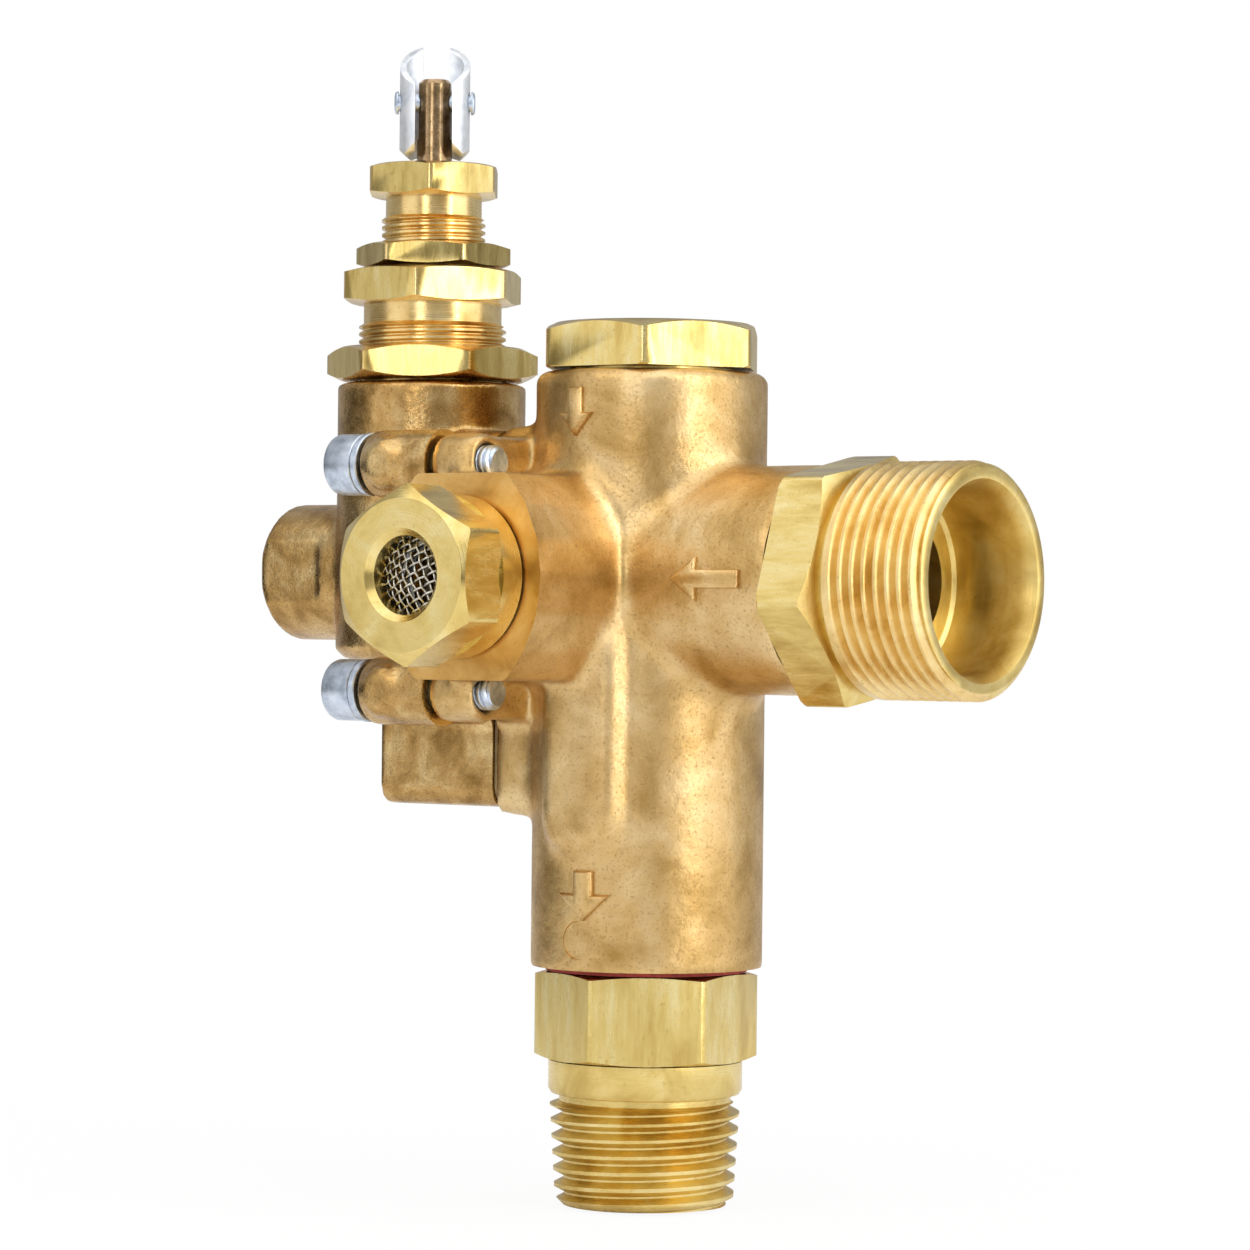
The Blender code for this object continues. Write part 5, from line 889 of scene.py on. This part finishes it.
def makeToggle():
    spec = toggle
    pivot = (pilotX, 0, portHeight + spec["pivot"] * mm)
    place = placeAt(pivot, upAxis, spec["turn"])
    inner = spec["outerR"] - spec["wall"]
    edge = 0.15
    tube = [(inner, spec["tip"]), (spec["outerR"], spec["tip"]), (spec["outerR"], -spec["foot"]),
            (inner, -spec["foot"])]
    lever = bmObject("toggle_lever_pressed", turned(tube, place, 96), [brightZinc])
    wide = spec["wide"]
    camZ = spec["camR"] - spec["foot"]
    outline = [(wide, spec["tip"] - spec["slope"] * (wide + spec["outerR"])),
               (-wide, spec["tip"] + spec["slope"] * (wide - spec["outerR"])), (-wide, camZ)]
    for k in range(1, 24):
        angle = math.pi + math.pi * k / 24
        stretch = wide / spec["camR"] if math.cos(angle) < 0 else 1.0
        outline.append((spec["camR"] * math.cos(angle) * stretch, camZ + spec["camR"] * math.sin(angle)))
    outline.append((wide, camZ))
    toSide = place @ Matrix(((0, 0, -1, 0), (-1, 0, 0, 0), (0, 1, 0, 0), (0, 0, 0, 1)))
    applyBoolean(lever, prism(outline, -wide, wide, toSide), "INTERSECT", "MANIFOLD")
    half = spec["footWidth"] / 2
    rise = spec["footCorner"] - spec["foot"]
    front = [(-half, -spec["foot"] - 1), (half, -spec["foot"] - 1), (half, -spec["foot"]),
             (wide, rise), (wide, spec["tip"] + 1), (-wide, spec["tip"] + 1), (-wide, rise),
             (-half, -spec["foot"])]
    toFront = place @ Matrix(((1, 0, 0, 0), (0, 0, -1, 0), (0, 1, 0, 0), (0, 0, 0, 1)))
    applyBoolean(lever, prism(front, -wide, wide, toFront), "INTERSECT", "MANIFOLD")
    slot = spec["frontSlot"] / 2
    applyBoolean(lever, prism(box2d(-slot, slot, -wide, 0), -spec["foot"] - 1, spec["tip"] + 1, place),
                 "DIFFERENCE", "MANIFOLD")
    slot = spec["backSlot"] / 2
    applyBoolean(lever, prism(box2d(-slot, slot, 0, wide), -0.5, spec["tip"] + 1, place),
                 "DIFFERENCE", "MANIFOLD")
    pinLine = (math.cos(math.radians(spec["turn"])), math.sin(math.radians(spec["turn"])), 0)
    across = placeAt(pivot, pinLine)
    hole = [(0, wide), (spec["pinHole"], wide), (spec["pinHole"], -wide), (0, -wide)]
    applyBoolean(lever, turned(hole, across, 32), "DIFFERENCE", "MANIFOLD")
    soften = lever.modifiers.new("edges", "BEVEL")
    soften.width = edge * mm
    soften.segments = 2
    soften.limit_method = "ANGLE"
    soften.angle_limit = math.radians(40)
    applyModifiers(lever)
    finishPiece(lever, "toggle", "toggle_lever", 40)
    head = spec["outerR"] + 0.15
    pinProfile = [(0, head + 0.45), (0.9, head + 0.45), (1.2, head + 0.38), (1.35, head + 0.2),
                  (1.35, head), (1.0, head), (1.0, -head), (1.35, -head), (1.35, -head - 0.2),
                  (1.2, -head - 0.38), (0.9, -head - 0.45), (0, -head - 0.45)]
    pin = bmObject("toggle_pin_riveted", turned(pinProfile, across, 40), [zinc])
    finishPiece(pin, "stem", "toggle_pin")
    spec = stem
    place = placeAt(pilotCentre, upAxis, toggle["turn"])
    rodProfile = [(0, spec["top"]), (spec["radius"] - spec["chamfer"], spec["top"]),
                  (spec["radius"], spec["top"] - spec["chamfer"]), (spec["radius"], spec["low"]),
                  (0, spec["low"])]
    rod = bmObject("pilot_stem_milled", turned(rodProfile, place, 64), [bronze])
    near = spec["flats"] / 2
    for side in (-1, 1):
        lowX, highX = sorted((side * near, side * 4))
        applyBoolean(rod, prism(box2d(lowX, highX, -4, 4), spec["top"] - spec["flatLength"],
                                spec["top"] + 1, place))
    applyBoolean(rod, turned([(0, 4), (toggle["pinHole"], 4), (toggle["pinHole"], -4), (0, -4)], across, 32))
    finishPiece(rod, "stem", "pilot_stem")


makeToggle()
print("toggle made")

for node in ("check_disc", "unloader_poppet", "pilot_seat", "spring_seat"):
    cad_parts[node].data.materials[0] = turnedPilot
for node in ("check_spring", "unloader_spring", "pilot_spring", "pilot_ball"):
    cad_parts[node].data.materials[0] = springSteel
for node in ("check_seal", "unloader_seal"):
    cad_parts[node].data.materials[0] = nitrile
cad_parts["pilot_gasket"].data.materials[0] = tanFibre
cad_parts["outlet_gasket"].data.materials[0] = redFibre
print("carried nodes finished")


# Floor, light and camera

studio = {"floorHalf": 3.0, "world": 0.45, "right": 3.1, "strip": 1.0, "left": 0.9, "top": 5.5,
          "frontCard": (0.68, 0.5), "leftCard": (0.36, 0.2), "glint": 0.3}
view = {"azimuth": 36.4, "distance": 524 * mm, "height": 65.3 * mm, "aside": -2.8 * mm,
        "lens": 133.6, "roll": 0.6}


# Plain white that the camera sees evenly, and that still takes a shadow near the part
def stageMaterial(name, share):
    material = bpy.data.materials.new(name)
    material.use_nodes = True
    tree = material.node_tree
    tree.nodes.clear()
    rays = addNode(tree, "ShaderNodeLightPath").outputs
    spot = addNode(tree, "ShaderNodeTexCoord").outputs["Object"]
    away = addNode(tree, "ShaderNodeVectorMath", {"operation": "LENGTH"}, {0: spot}).outputs["Value"]
    paper = mapTo(tree, away, 0.05, 0.22, share, 1.0)
    seen = math2(tree, "MULTIPLY", rays["Is Camera Ray"], paper)
    matt = addNode(tree, "ShaderNodeBsdfDiffuse", {"Color": (0.9, 0.9, 0.9, 1)}).outputs[0]
    glow = addNode(tree, "ShaderNodeEmission", {"Color": (1, 1, 1, 1), "Strength": 1.0}).outputs[0]
    blend = addNode(tree, "ShaderNodeMixShader", {}, {0: seen, 1: matt, 2: glow}).outputs[0]
    addNode(tree, "ShaderNodeOutputMaterial", {}, {"Surface": blend})
    return material


def makeStage():
    bm = bmesh.new()
    bmesh.ops.create_grid(bm, x_segments=8, y_segments=8, size=studio["floorHalf"])
    bmesh.ops.translate(bm, verts=bm.verts, vec=(0, 0, -0.3 * mm))
    floor = bmObject("studioFloor", bm, [stageMaterial("paleFloor", 0.93)])


# Matt card that gives bright metal its dark stripe, unseen where a view looks through it
def darkCard(name, place, target, wide, high, grey):
    bm = bmesh.new()
    bmesh.ops.create_grid(bm, x_segments=2, y_segments=2, size=0.5)
    turn = (Vector(place) - Vector(target)).to_track_quat("Z", "Y").to_matrix().to_4x4()
    bmesh.ops.transform(bm, matrix=Matrix.Translation(Vector(place)) @ turn @ Matrix.Diagonal((wide, high, 1, 1)),
                        verts=bm.verts)
    material, tree, shader, point = startMaterial(name + "Felt", {"Roughness": 0.9, "Base Color": (grey, grey, grey, 1)})
    rays = addNode(tree, "ShaderNodeLightPath").outputs
    clear = addNode(tree, "ShaderNodeBsdfTransparent").outputs[0]
    blend = addNode(tree, "ShaderNodeMixShader", {}, {0: rays["Is Camera Ray"], 1: shader.outputs[0], 2: clear})
    tree.links.new(blend.outputs[0], tree.nodes["Material Output"].inputs["Surface"])
    bmObject(name, bm, [material])


def makeWorld():
    world = bpy.data.worlds.new("studioWorld")
    bpy.context.scene.world = world
    world.use_nodes = True
    tree = world.node_tree
    tree.nodes.clear()
    rays = addNode(tree, "ShaderNodeLightPath").outputs
    level = mapTo(tree, rays["Is Camera Ray"], 0, 1, studio["world"], 1.0)
    light = addNode(tree, "ShaderNodeBackground", {"Color": (1, 1, 1, 1)}, {"Strength": level})
    addNode(tree, "ShaderNodeOutputWorld", {}, {"Surface": light.outputs[0]})


def areaLight(name, place, target, size, watts):
    data = bpy.data.lights.new(name, "AREA")
    data.shape = "RECTANGLE"
    data.size, data.size_y = size
    data.energy = watts
    lamp = bpy.data.objects.new(name, data)
    bpy.context.scene.collection.objects.link(lamp)
    lamp.location = place
    lamp.rotation_euler = (Vector(target) - Vector(place)).to_track_quat("-Z", "Y").to_euler()


def makeCamera():
    angle = math.radians(view["azimuth"])
    toCamera = Vector((math.sin(angle), -math.cos(angle), 0))
    right = Vector((math.cos(angle), math.sin(angle), 0))
    data = bpy.data.cameras.new("photoCamera")
    data.lens = view["lens"]
    data.clip_start = 0.01
    camera = bpy.data.objects.new("photoCamera", data)
    bpy.context.scene.collection.objects.link(camera)
    camera.location = toCamera * view["distance"] + right * view["aside"] + upAxis * view["height"]
    facing = (-toCamera).to_track_quat("-Z", "Y")
    rolled = facing.to_matrix() @ Matrix.Rotation(math.radians(view["roll"]), 3, "Z")
    camera.rotation_euler = rolled.to_euler()
    bpy.context.scene.camera = camera
    return toCamera, right


makeStage()
makeWorld()
toCamera, toRight = makeCamera()
middle = Vector((0, 0, 0.07))
areaLight("rightBox", middle + toRight * 0.6 + toCamera * 0.3 + upAxis * 0.1, middle, (0.7, 1.1), studio["right"])
areaLight("rightStrip", middle + toRight * 0.42 + toCamera * 0.45 + upAxis * 0.1, middle, (0.06, 0.8), studio["strip"])
areaLight("leftBox", middle - toRight * 0.6 + toCamera * 0.35 + upAxis * 0.3, middle, (0.6, 0.7), studio["left"])
areaLight("topBox", middle + upAxis * 0.65 + toCamera * 0.25, middle, (1.4, 1.2), studio["top"])
areaLight("glintStrip", middle - toRight * 0.21 + toCamera * 0.56 + upAxis * 0.14, middle, (0.12, 0.2), studio["glint"])
darkCard("frontCard", middle + toCamera * 0.75 - toRight * 0.18 - upAxis * 0.23, middle - upAxis * 0.23,
         studio["frontCard"][0], studio["frontCard"][1], 0.02)
darkCard("leftCard", middle - toRight * 0.45 - toCamera * 0.14 - upAxis * 0.05, middle - upAxis * 0.05,
         studio["leftCard"][0], studio["leftCard"][1], 0.03)
bpy.context.scene.view_settings.view_transform = "Standard"
print("studio made")
